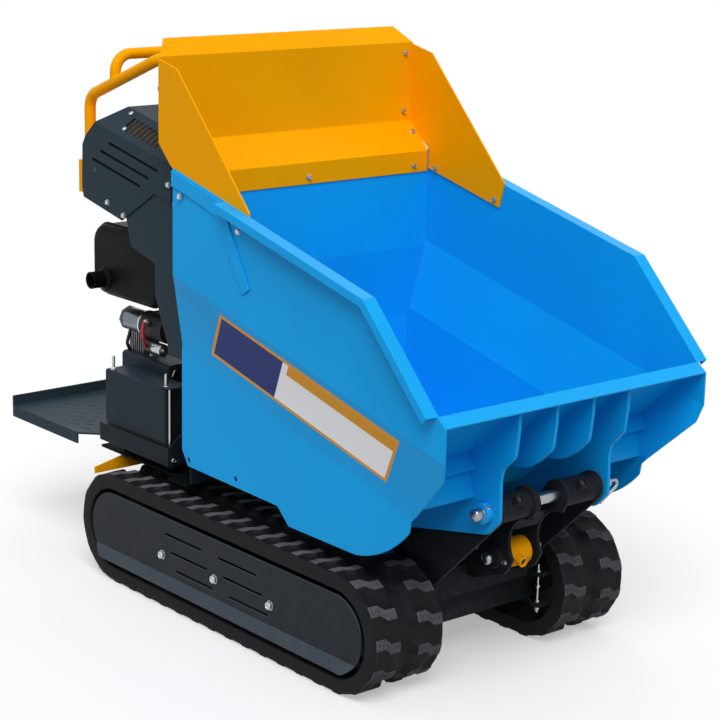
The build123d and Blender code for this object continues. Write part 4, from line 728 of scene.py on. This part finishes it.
def tread_sheet(middle_y):
    """A whole track as one closed sheet: rows go along the belt and columns round its cut section. The lift
    off the belt goes from the floor between two lugs to a lug's top by a bell along the belt, less the
    grooves. Each column is shifted along the belt, by a step that gives a lug its stepped outline and by half
    a pitch from one lug row to the other. Round dents lie along the belt's middle."""
    place, share, floor, groove = lug_columns()
    flat = np.zeros(3)
    rim_y = BELT_HALF_WIDTH - np.array([0.0006, 0.0, 0.0002, 0.0030])
    rim_lift = np.array([0.0045, -0.0030, -0.0200, -BELT_THICKNESS])
    bare = np.zeros(4)
    edge = np.interp(place, [0.030, 0.0322], [0.0, -0.0010])
    y = np.concatenate([-LUG_MIDDLE - place[::-1], [-0.006, 0.0, 0.006], LUG_MIDDLE + place, rim_y])
    half = BELT_HALF_WIDTH / 2
    y = np.concatenate([y, [half, 0.0, -half], -rim_y[::-1]])
    share = np.concatenate([share[::-1], flat, share, bare, flat, bare])
    floor = np.concatenate([floor[::-1], flat, floor, bare, flat, bare])
    groove = np.concatenate([groove[::-1], flat, groove, bare, flat, bare])
    bare_lift = np.concatenate([edge[::-1], flat, edge, rim_lift, flat - BELT_THICKNESS, rim_lift[::-1]])
    step = np.interp(np.abs(y) - LUG_MIDDLE, [-LUG_SLANT, LUG_SLANT], [-LUG_STEP, LUG_STEP]) * np.sign(y)
    shift = np.interp(y, [-ROW_GAP / 2, ROW_GAP / 2], [0.0, LUG_PITCH / 2]) + step
    flank = np.array([0.0262, 0.0220, 0.0180, 0.0145, 0.0118, 0.0100, 0.0090, 0.0045])
    rise = np.array([0.0, 0.03, 0.12, 0.34, 0.66, 0.91, 1.0, 1.0])
    along = np.concatenate([[-LUG_PITCH / 2], -flank, flank[::-1]])
    bell = np.concatenate([[0.0], rise, rise[::-1]])
    dent = np.clip(1 - (along / DENT_HALF_LENGTH) ** 2, 0, 1)
    distance = (np.arange(LUG_COUNT)[:, None] * LUG_PITCH + along).reshape(-1)
    distance = np.append(distance, distance[0])[:, None] + shift
    bell, dent = (np.append(np.tile(v, LUG_COUNT), v[0])[:, None] for v in (bell, dent))
    dent = DENT_DEPTH * dent * np.clip(1 - (y / DENT_HALF_WIDTH) ** 2, 0, 1) * (bare_lift == 0)
    groove = groove * np.clip(bell * 8 - 7, 0, 1)
    lift = bare_lift + LUG_HEIGHT * (floor + (share - floor) * bell) - groove - dent
    return on_belt(distance, middle_y + y, lift)


for side, name in ((-1, "right"), (1, "left")):
    surface(name + "_belt", tread_sheet(side * TRACK_Y), tread_rubber, "chassis", replaced=(name + "_track",))


# Bolts, nuts and pin ends

UP = (0, 0, 1)
FORWARD = (1, 0, 0)
OUT = (0, -1, 0)


def mirrored(points):
    """The points on the right side and the same on the left."""
    points = np.atleast_2d(np.asarray(points, float))
    return np.concatenate([points, points * [1, -1, 1]])


COVER_BOLT_PITCH = 0.195
SHADE_SHEET_DEPTH = 0.020
SHADE_SHEET_THICKNESS = 0.002

# Track covers: a black sheet behind the slots, painted shade where the track frame and rollers stand in
# shadow
for side, name in ((-1, "right"), (1, "left")):
    y = side * (COVER_Y - SHADE_SHEET_DEPTH)
    shade_sheet = [(-0.150, y, 0.055), (0.350, y, 0.055), (0.350, y, 0.155), (-0.150, y, 0.155)]
    plate("cover_slot_shade_" + name, shade_sheet[:: -side], SHADE_SHEET_THICKNESS, shade_black, "chassis")
cover_bolts = mirrored([(0.098 + i * COVER_BOLT_PITCH, -COVER_Y, 0.103) for i in (-1, 0, 1)])
bolts("cover_bolts", cover_bolts, mirrored([OUT] * 3), 0.0098, "chassis")


def on_hood(x, y):
    """A point on the hood's slanted face, which falls forwards and outwards."""
    inward = (HOOD_Y + y) / HOOD_SLANT_WIDTH
    return (x, y, HOOD_FOLD_Z - HOOD_FALL * (x - HOOD_FRONT_X) + HOOD_SLANT_RISE * inward)


slant_spots = mirrored([on_hood(-0.376, -0.240), on_hood(-0.349, -0.276), on_hood(-0.187, -0.276)])
domes("hood_screws", slant_spots, mirrored([(0.2, -0.656, 1.0)] * 3), 0.0058, "chassis")
hood_bolt_spots = [(-0.390, -HOOD_Y, 0.842), (-0.326, -HOOD_Y, 0.8215), (-0.152, -HOOD_Y, 0.914)]
bolts("hood_bolts", mirrored(hood_bolt_spots), mirrored([OUT] * 3), 0.0062, "chassis")
column_spots = [(-0.100, -0.290, 0.768), (-0.100, -0.290, 0.600)]
bolts("column_bolts", mirrored(column_spots), mirrored([OUT] * 2), 0.0058, "chassis")
wing_spots = mirrored([(-0.012, -0.362, 0.915), (0.186, -0.358, 0.871)])
bolts("wing_bolts", wing_spots, mirrored([OUT] * 2), 0.0064, "tub")
wing_nut_spots = mirrored([(-0.012, -0.350, 0.915), (0.186, -0.350, 0.871)])
bolts("wing_nuts", wing_nut_spots, mirrored([(0, 1, 0)] * 2), 0.0060, "tub")
back_spots = [(-0.100, -0.327, 1.171), (-0.100, -0.325, 1.038)]
bolts("back_bolts", mirrored(back_spots), FORWARD, 0.0060, "tub")
bolts("shelf_bolts", mirrored([(-0.0776, -0.335, 0.993)]), (0.718, 0, 0.695), 0.0060, "tub")
strip_spots = np.concatenate([mirrored([(-0.039, -0.308, 0.921)]), [(-0.039, 0.0, 0.921)]])
bolts("strip_bolts", strip_spots, FORWARD, 0.0060, "tub")
bolts("tray_bolts", [(-0.148, -0.286, 0.2955), (-0.148, -0.160, 0.2955)], FORWARD, 0.0056, "chassis")

dome = [
    (0, -0.004),
    (0.0125, -0.004),
    (0.0125, 0.0005),
    (0.0118, 0.0026),
    (0.0098, 0.0044),
    (0.0060, 0.0056),
    (0, 0.006),
]
pin_end = (HINGE[0], -0.185, HINGE[2])
surface("hinge_pin_ends", turned(dome, pin_end, OUT), pin_steel, "tub")
cylinder_ends = mirrored([(CYLINDER[0], -0.070, CYLINDER[2])])
surface("cylinder_pin_ends", turned(dome, cylinder_ends, mirrored([OUT])), pin_steel, "chassis")
collar_bolt_spots = mirrored([(HINGE[0] + 0.0145, -0.162, HINGE[2] + 0.0150)])
bolts("collar_bolts", collar_bolt_spots, (0.70, 0, 0.72), 0.0052, "tub", washer=False)
keeper_spots = mirrored([(CYLINDER[0] + 0.027, -0.044, CYLINDER[2] - 0.006)])
bolts("keeper_bolts", keeper_spots, mirrored([OUT]), 0.0056, "chassis")
boss = [(0, -0.002), (0.0235, -0.002), (0.0235, 0.010), (0.0220, 0.0120), (0.0125, 0.0120), (0, 0.0120)]
boss_spots = mirrored([(CYLINDER[0], -0.044, CYLINDER[2])])
surface("cylinder_pin_bosses", turned(boss, boss_spots, mirrored([OUT]), 32), under_coat, "chassis")

# Open ends of the greasing stubs: a short tube on each stub, with a black disc inside as painted shade for
# its hollow
mouth = [
    (0.0110, -0.003),
    (0.0112, 0.0052),
    (0.0106, 0.0060),
    (0.0082, 0.0060),
    (0.0076, 0.0054),
    (0.0074, 0.0006),
    (0, 0.0006),
]
lean = np.array([0.8, 0, 0.6])
stub_spots = np.array([HINGE + [0, -0.099, 0], HINGE + [0, 0.077, 0]]) + lean * 0.040
surface("hinge_stub_mouths", turned(mouth, stub_spots, lean), under_coat, "chassis")
droop = np.array([1, 0, -0.15]) / np.linalg.norm([1, 0, -0.15])
barrel_stub = CYLINDER + [0, -0.011, 0] + droop * 0.042
surface("cylinder_stub_mouth", turned(mouth, [barrel_stub], droop), orange, "barrel")
hollow_shade = [(0, 0.0), (0.0073, 0.0), (0.0073, 0.0012), (0, 0.0012)]
surface("hinge_stub_hole_shade", turned(hollow_shade, stub_spots, lean), black_plastic, "chassis")
surface("cylinder_stub_hole_shade", turned(hollow_shade, [barrel_stub], droop), black_plastic, "barrel")

# Weld beads on the hinge tower and the ribs

tube_welds = np.array([(HINGE[0], y, HINGE[2]) for y in (-0.131, -0.0445, 0.0445, 0.131)])
ring_beads("hinge_welds", tube_welds, (0, 1, 0), 0.0285, 0.0026, under_coat, "chassis")
flange = [
    (0.0270, 0.0),
    (0.0335, 0.0),
    (0.0345, 0.0012),
    (0.0345, 0.0080),
    (0.0330, 0.0092),
    (0.0270, 0.0092),
]
surface("hinge_flange", turned(flange, [HINGE - [0, 0.0440, 0]], OUT, 40), under_coat, "chassis")
ring_beads("stub_welds", stub_spots - lean * 0.0125, lean, 0.0112, 0.0018, under_coat, "chassis")
slope_low = np.array([0.640, 0.0, 0.4625])
rib_lines = np.array([-0.154, -0.146, -0.054, -0.046, 0.046, 0.054, 0.146, 0.154])
rise = np.array([1.0, 0.0, 1.0])
rib_starts = slope_low + rise * 0.050 + np.stack([0 * rib_lines, rib_lines, 0 * rib_lines], axis=-1)
rib_stops = slope_low + rise * 0.131 + np.stack([0 * rib_lines, rib_lines, 0 * rib_lines], axis=-1)
beads("rib_welds", rib_starts, rib_stops, 0.0022, blue, "tub")

# Between the tracks, at the front: the left track's tension spring and its adjuster

SPRING_X, SPRING_Z = 0.514, 0.158
SPRING_RADIUS = 0.015
SPRING_PITCH = 0.0055
SPRING_TURNS = 6
turn = np.linspace(0, 2 * pi * SPRING_TURNS, SPRING_TURNS * 24)
coil_x = SPRING_X + SPRING_RADIUS * np.cos(turn)
coil_z = SPRING_Z + SPRING_RADIUS * np.sin(turn)
coil = np.stack([coil_x, SPRING_PITCH * turn / (2 * pi), coil_z], axis=-1)
tube("tension_spring", coil, 0.0021, spring_red, "chassis", sides=8, side=(0.0, 1.0, 0.0))
ADJUSTER_X, ADJUSTER_Y = 0.564, 0.157
adjuster = [(0, 0.0), (0.0026, 0.0), (0.0026, 0.108), (0, 0.108)]
surface("adjuster_rod", turned(adjuster, [(ADJUSTER_X, ADJUSTER_Y, 0.055)], UP, 12), zinc, "chassis")
nut_spots = [(ADJUSTER_X, ADJUSTER_Y, z) for z in (0.062, 0.078, 0.112, 0.146)]
bolts("adjuster_nuts", nut_spots, UP, 0.0052, "chassis")
for i, z in enumerate((0.070, 0.138)):
    ear = [(0.552, 0.147, z), (0.578, 0.147, z), (0.578, 0.185, z), (0.552, 0.185, z)]
    plate(f"adjuster_ear_{i}", ear, 0.007, under_coat, "chassis")

# Rear platform: chequer plate


def lozenges(spots, turns, length, width, height):
    """Raised tread lozenges: along u from -1 to 1 and v across, the width narrows as (1 - u^2)^0.6 to points
    at both ends, and the height swells as (1 - v^2) (1 - u^4)."""
    u = np.linspace(-1, 1, 7)[:, None]
    v = np.linspace(-1, 1, 5)[None, :]
    waist = np.maximum(1 - u**2, 0) ** 0.6
    along = np.broadcast_to(u * length, (7, 5))
    side = v * waist * width
    lift = height * (1 - v**2) * (1 - u**4) - 0.0002
    c, s = np.cos(turns)[:, None, None], np.sin(turns)[:, None, None]
    return np.stack(
        [
            spots[:, 0, None, None] + along * c - side * s,
            spots[:, 1, None, None] + along * s + side * c,
            spots[:, 2, None, None] + lift + 0 * c,
        ],
        axis=-1,
    )


def tread_spots(x_low, x_high, y_low, y_high, z, pitch):
    """A square lattice of places, with a turn that alternates from each place to the next."""
    rows = int((x_high - x_low) / pitch) + 1
    columns = int((y_high - y_low) / pitch) + 1
    i, j = np.meshgrid(np.arange(rows), np.arange(columns), indexing="ij")
    spots = np.stack([x_low + i * pitch, y_low + j * pitch, 0 * i + z], axis=-1).reshape(-1, 3)
    turns = np.where((i + j) % 2 == 0, radians(45), radians(-45)).reshape(-1)
    return spots, turns


spots, turns = tread_spots(-0.800, -0.494, -0.288, 0.288, 0.275, 0.024)
inside = np.abs(spots[:, 1]) - 0.285 < -(spots[:, 0] + 0.524).clip(0)
treads = lozenges(spots[inside], turns[inside], 0.0125, 0.0034, 0.0013)
surface("platform_treads", treads, dark, "platform", around=False)

# Engine bay


def round_box_path(x_low, x_high, z_low, z_high, corner, y, count=96):
    """A loop round a box with round corners in X and Z: quarter circles about four centres, joined by
    straight runs."""
    turn = np.linspace(0, 2 * pi, count + 1)[:-1]
    x = np.where(np.cos(turn) > 0, x_high - corner, x_low + corner) + corner * np.cos(turn)
    z = np.where(np.sin(turn) > 0, z_high - corner, z_low + corner) + corner * np.sin(turn)
    loop = np.stack([x, np.full_like(x, y), z], axis=-1)
    return np.concatenate([loop, loop[:1]])


seam = [round_box_path(-0.5100, -0.2390, 0.6140, 0.7780, 0.047, y) for y in (-0.2440, -0.1360)]
OUTLET_X, OUTLET_Z = -0.456, 0.652
tube("muffler_seams", np.stack(seam), 0.0032, muffler_paint, "chassis", side=(0.0, 1.0, 0.0), ends=False)
collar = [
    (0.0190, -0.002),
    (0.0280, -0.002),
    (0.0280, 0.0015),
    (0.0235, 0.0040),
    (0.0202, 0.0075),
    (0.0190, 0.0075),
]
surface("outlet_collar", turned(collar, [(OUTLET_X, -0.262, OUTLET_Z)], OUT, 32), muffler_paint, "chassis")
lip = [
    (0.0163, 0.0),
    (0.0165, 0.0010),
    (0.0180, 0.0018),
    (0.0197, 0.0010),
    (0.0199, -0.0015),
    (0.0195, -0.004),
]
surface("outlet_lip", turned(lip, [(OUTLET_X, -0.300, OUTLET_Z)], OUT, 32), muffler_paint, "chassis")

STARTER = np.array([-0.338, -0.215, 0.560])
cap = [
    (0, -0.0025),
    (0.0200, -0.0025),
    (0.0268, 0.0025),
    (0.0288, 0.0055),
    (0.0288, 0.0165),
    (0.0275, 0.0180),
    (0.0262, 0.0180),
]
surface("starter_cap", turned(cap, [STARTER - [0.093, 0, 0]], FORWARD, 8), cap_casting, "chassis")
end_screws = STARTER + np.array([(-0.0955, 0.011, 0.008), (-0.0955, -0.011, -0.008)])
bolts("starter_screws", end_screws, (-1, 0, 0), 0.0032, "chassis")
ring = [(0.0290, -0.0022), (0.0312, -0.0022), (0.0317, 0.0), (0.0312, 0.0022), (0.0290, 0.0022)]
surface("starter_ring", turned(ring, [STARTER - [0.0085, 0, 0]], FORWARD, 40), chrome, "chassis")
drum = [(0, -0.002), (0.0165, -0.002), (0.0165, 0.026), (0.0150, 0.028), (0, 0.028)]
solenoid = [
    (0, 0.026),
    (0.0148, 0.026),
    (0.0148, 0.058),
    (0.0138, 0.060),
    (0.0060, 0.060),
    (0.0060, 0.066),
    (0, 0.066),
]
solenoid_spot = [(-0.330, -0.226, 0.513)]
surface("solenoid_drum", turned(drum, solenoid_spot, FORWARD, 32), black_plastic, "chassis")
surface("solenoid_sleeve", turned(solenoid, solenoid_spot, FORWARD, 32), zinc, "chassis")
post = [(0, -0.004), (0.0072, -0.004), (0.0072, 0.006), (0.0058, 0.0075), (0.0058, 0.010), (0, 0.010)]
post_spots = np.array([(-0.302, -0.2435, 0.573), (-0.274, -0.2240, 0.590)])
post_axes = np.array([(0, -0.911, 0.412), (0, -0.301, 0.954)])
surface("starter_posts", turned(post, post_spots, post_axes), black_plastic, "chassis")
bolts("starter_nuts", post_spots + post_axes * 0.010, post_axes, 0.0056, "chassis")


def comb_block(low, high, fins, depth):
    """A finned block: its outline goes along the right side in square steps, in and out by the depth, then
    round the back, and is drawn up from the bottom to the top."""
    steps = np.repeat(np.linspace(low[0], high[0], 2 * fins), 2)[1:-1]
    rows = np.arange(len(steps)) // 2 % 2
    side = np.stack([steps, low[1] + depth * rows], axis=-1)
    outline = np.concatenate([side, [(high[0], high[1]), (low[0], high[1])]])
    return np.stack([np.c_[outline, np.full(len(outline), z)] for z in (low[2], high[2])])


fins = comb_block((-0.455, -0.196, 0.4765), (-0.399, -0.150, 0.528), 7, 0.012)
rounded(surface("regulator", fins, alloy, "chassis", ends=True), 0.0006)

box_bolt_spots = [(-0.3700, -0.190, 0.477), (-0.3730, -0.155, 0.477)]
bolts("box_bolts", box_bolt_spots, UP, 0.0062, "chassis")
box_stud = [(0, 0.004), (0.0032, 0.004), (0.0032, 0.017), (0.0024, 0.018), (0, 0.018)]
surface("box_studs", turned(box_stud, box_bolt_spots, UP, 12), zinc, "chassis")
ripple = [(0.0036 + 0.0004 * (i % 2), 0.006 + 0.0017 * i) for i in range(15)]
thread = [(0, 0.006), *ripple, (0.0026, 0.0325), (0, 0.0325)]
stud_spots = [(-0.395, -0.280, 0.452), (-0.188, -0.277, 0.452)]
surface("battery_studs", turned(thread, stud_spots, UP, 16), zinc, "chassis")
bolts("battery_nuts", stud_spots, UP, 0.0066, "chassis")
rod = [(0, -0.160), (0.0034, -0.160), (0.0034, 0.006), (0, 0.006)]
surface("battery_rod", turned(rod, [(-0.168, -0.281, 0.447)], UP, 16), zinc, "chassis")
STRAP_Z = 0.4535
strap = [
    (-0.192, -0.290, STRAP_Z),
    (-0.164, -0.290, STRAP_Z),
    (-0.164, -0.268, STRAP_Z),
    (-0.192, -0.268, STRAP_Z),
]
plate("battery_strap", strap, 0.003, dark, "chassis")


def cable(name, route, diameter, material, body):
    """A cable or hose held at both ends, on one smooth spline through its route."""
    route = np.asarray(route, float) + DATUM
    line = bpy.data.curves.new(name, "CURVE")
    line.dimensions = "3D"
    spline = line.splines.new("NURBS")
    spline.points.add(len(route) - 1)
    spline.points.foreach_set("co", np.c_[route, np.ones(len(route))].ravel())
    spline.order_u = 3
    spline.use_endpoint_u = True
    line.resolution_u = 10
    made = bpy.data.objects.new(name, line)
    scene.collection.objects.link(made)
    bpy.context.view_layer.update()
    bare = bpy.data.meshes.new_from_object(made.evaluated_get(bpy.context.evaluated_depsgraph_get()))
    run = np.empty(len(bare.vertices) * 3)
    bare.vertices.foreach_get("co", run)
    bpy.data.meshes.remove(bare)
    line.bevel_depth = diameter / 2
    line.bevel_resolution = 4
    line.use_fill_caps = True
    line.materials.append(material)
    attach(made, body)
    return made


cable(
    "starter_cable",
    [
        (-0.3020, -0.2580, 0.5790),
        (-0.3020, -0.2620, 0.5640),
        (-0.3040, -0.2600, 0.5440),
        (-0.3110, -0.2480, 0.5220),
        (-0.3280, -0.2270, 0.5030),
        (-0.3500, -0.2040, 0.4905),
        (-0.3650, -0.1930, 0.4870),
    ],
    0.0082,
    red_sleeve,
    "chassis",
)
cable(
    "earth_cable",
    [
        (-0.4180, -0.2180, 0.5330),
        (-0.4220, -0.2200, 0.5160),
        (-0.4330, -0.2180, 0.5000),
        (-0.4420, -0.2080, 0.4870),
        (-0.4450, -0.2020, 0.4780),
    ],
    0.0080,
    black_plastic,
    "chassis",
)
# A thin black sheet in the switch box's open side: painted shade for its dark inside.
MOUTH_X = -0.2668
box_mouth_shade = [
    (MOUTH_X, -0.2120, 0.2920),
    (MOUTH_X, -0.1260, 0.2920),
    (MOUTH_X, -0.1260, 0.4700),
    (MOUTH_X, -0.2120, 0.4700),
]
plate("box_mouth_shade", box_mouth_shade, 0.0012, black_plastic, "chassis")
clip = [
    (-0.2640, -0.2040, 0.4360),
    (-0.2600, -0.2090, 0.4520),
    (-0.2600, -0.2050, 0.4660),
    (-0.2640, -0.1950, 0.4640),
]
tube("box_clip", np.array(clip), 0.0022, zinc, "chassis")
bolts("box_side_bolt", [(-0.2656, -0.195, 0.4290)], FORWARD, 0.0052, "chassis")

# Hood: a black sheet behind the slots, painted shade for the shadowed engine bay, and an orange backing
# behind the vents

HOOD_SHADE_SHEET_Y = 0.284
BACKING_SINK = [0.002, -0.0045, 0.0085]

for side, name in ((-1, "right"), (1, "left")):
    y = side * HOOD_SHADE_SHEET_Y
    shade_sheet = [
        (-0.480, y, 0.850),
        (-0.340, y, 0.822),
        (-0.215, y, 0.895),
        (-0.152, y, 0.885),
        (-0.152, y, 0.945),
        (-0.455, y, 1.000),
    ]
    plate("hood_slot_shade_" + name, shade_sheet[:: -side], SHADE_SHEET_THICKNESS, shade_black, "chassis")
    top = [on_hood(-0.370, -0.285), on_hood(-0.200, -0.285), on_hood(-0.200, -0.236), on_hood(-0.370, -0.236)]
    backing = (np.array(top) - BACKING_SINK) * [1, -side, 1]
    plate("vent_backing_" + name, backing[::side], 0.0015, orange, "chassis")
plug_profile = [(0, -0.001), (0.0052, -0.001), (0.0052, 0.0006), (0, 0.0010)]
plug_spots = mirrored([(-0.442, -HOOD_Y, 0.908)])
surface("hood_plugs", turned(plug_profile, plug_spots, mirrored([OUT])), black_plastic, "chassis")

# Levers: a pleated rubber boot at the foot of each

LEVER_COUNT = 4
LEVER_PITCH = 0.064
pleats = [(0.0185 - 0.0012 * i - 0.0028 * (i % 2), -0.004 + 0.0030 * i) for i in range(9)]
boot = [(0, -0.004), *pleats, (0, 0.0205)]
lever_middle = (LEVER_COUNT - 1) / 2
lever_spots = [(-0.440, (i - lever_middle) * LEVER_PITCH, 1.014) for i in range(LEVER_COUNT)]
surface("lever_boots", turned(boot, lever_spots, (-0.42, 0, 0.9), 24), boot_rubber, "chassis")


# Stage and light

floor_finish = Finish("floor_paper")
floor_tone = floor_finish.noise(1.5, 3.0)
SEEN_RAYS = ("Is Camera Ray", "Is Glossy Ray", "Is Transmission Ray")
ray = [floor_finish.node("ShaderNodeLightPath", out=kind) for kind in SEEN_RAYS]
seen = ray[0].over(ray[1]).over(ray[2])
pale = floor_finish.mix(floor_tone, (0.97, 0.97, 0.97), (1.0, 1.0, 1.0))
floor_paper = floor_finish.done(
    Base_Color=floor_finish.mix(seen, (0.34, 0.34, 0.34), pale),
    Roughness=0.9,
    Specular_IOR_Level=0.0,
)
far = floor_finish.ease((floor_finish.x ** 2.0 + floor_finish.y ** 2.0) ** 0.5, 0.9, 2.6)
white = floor_finish.node("ShaderNodeEmission", {}, {"Color": (1.0, 1.0, 1.0, 1.0), "Strength": 1.0})
lit = Value(floor_finish, floor_finish.shader.outputs[0])
faded = floor_finish.node("ShaderNodeMixShader", {}, {0: seen * (far * 0.6 + 0.4), 1: lit, 2: white})
floor_finish.join(floor_finish.tree.nodes["Material Output"], {0: faded})
floor_mesh = bpy.data.meshes.new("floor")
floor_mesh.from_pydata([(-30, -30, 0), (30, -30, 0), (30, 30, 0), (-30, 30, 0)], [], [(0, 1, 2, 3)])
floor_mesh.materials.append(floor_paper)
floor = bpy.data.objects.new("floor", floor_mesh)
scene.collection.objects.link(floor)

world = bpy.data.worlds.new("studio")
scene.world = world
world.use_nodes = True
sky = world.node_tree
paths = sky.nodes.new("ShaderNodeLightPath")
through = sky.nodes.new("ShaderNodeMath")
through.operation = "MAXIMUM"
sky.links.new(paths.outputs["Is Camera Ray"], through.inputs[0])
sky.links.new(paths.outputs["Is Transmission Ray"], through.inputs[1])
viewed = sky.nodes.new("ShaderNodeMath")
viewed.operation = "MAXIMUM"
sky.links.new(through.outputs[0], viewed.inputs[0])
sky.links.new(paths.outputs["Is Glossy Ray"], viewed.inputs[1])
level = sky.nodes.new("ShaderNodeMapRange")
level.inputs[3].default_value = 0.5
level.inputs[4].default_value = 1.0
sky.links.new(viewed.outputs[0], level.inputs[0])
sky.nodes["Background"].inputs[0].default_value = (1.0, 1.0, 1.0, 1.0)
sky.links.new(level.outputs[0], sky.nodes["Background"].inputs[1])


def lamp(name, direction, power, spread):
    """A soft far lamp that shines in a direction."""
    light = bpy.data.lights.new(name, "SUN")
    light.energy = power
    light.angle = radians(spread)
    made = bpy.data.objects.new(name, light)
    made.rotation_mode = "QUATERNION"
    made.rotation_quaternion = Vector(direction).to_track_quat("-Z", "Y")
    scene.collection.objects.link(made)


lamp("key", (-0.46, 0.40, -0.79), 2.00, 38.0)
lamp("fill", (0.55, -0.60, -0.58), 0.35, 70.0)
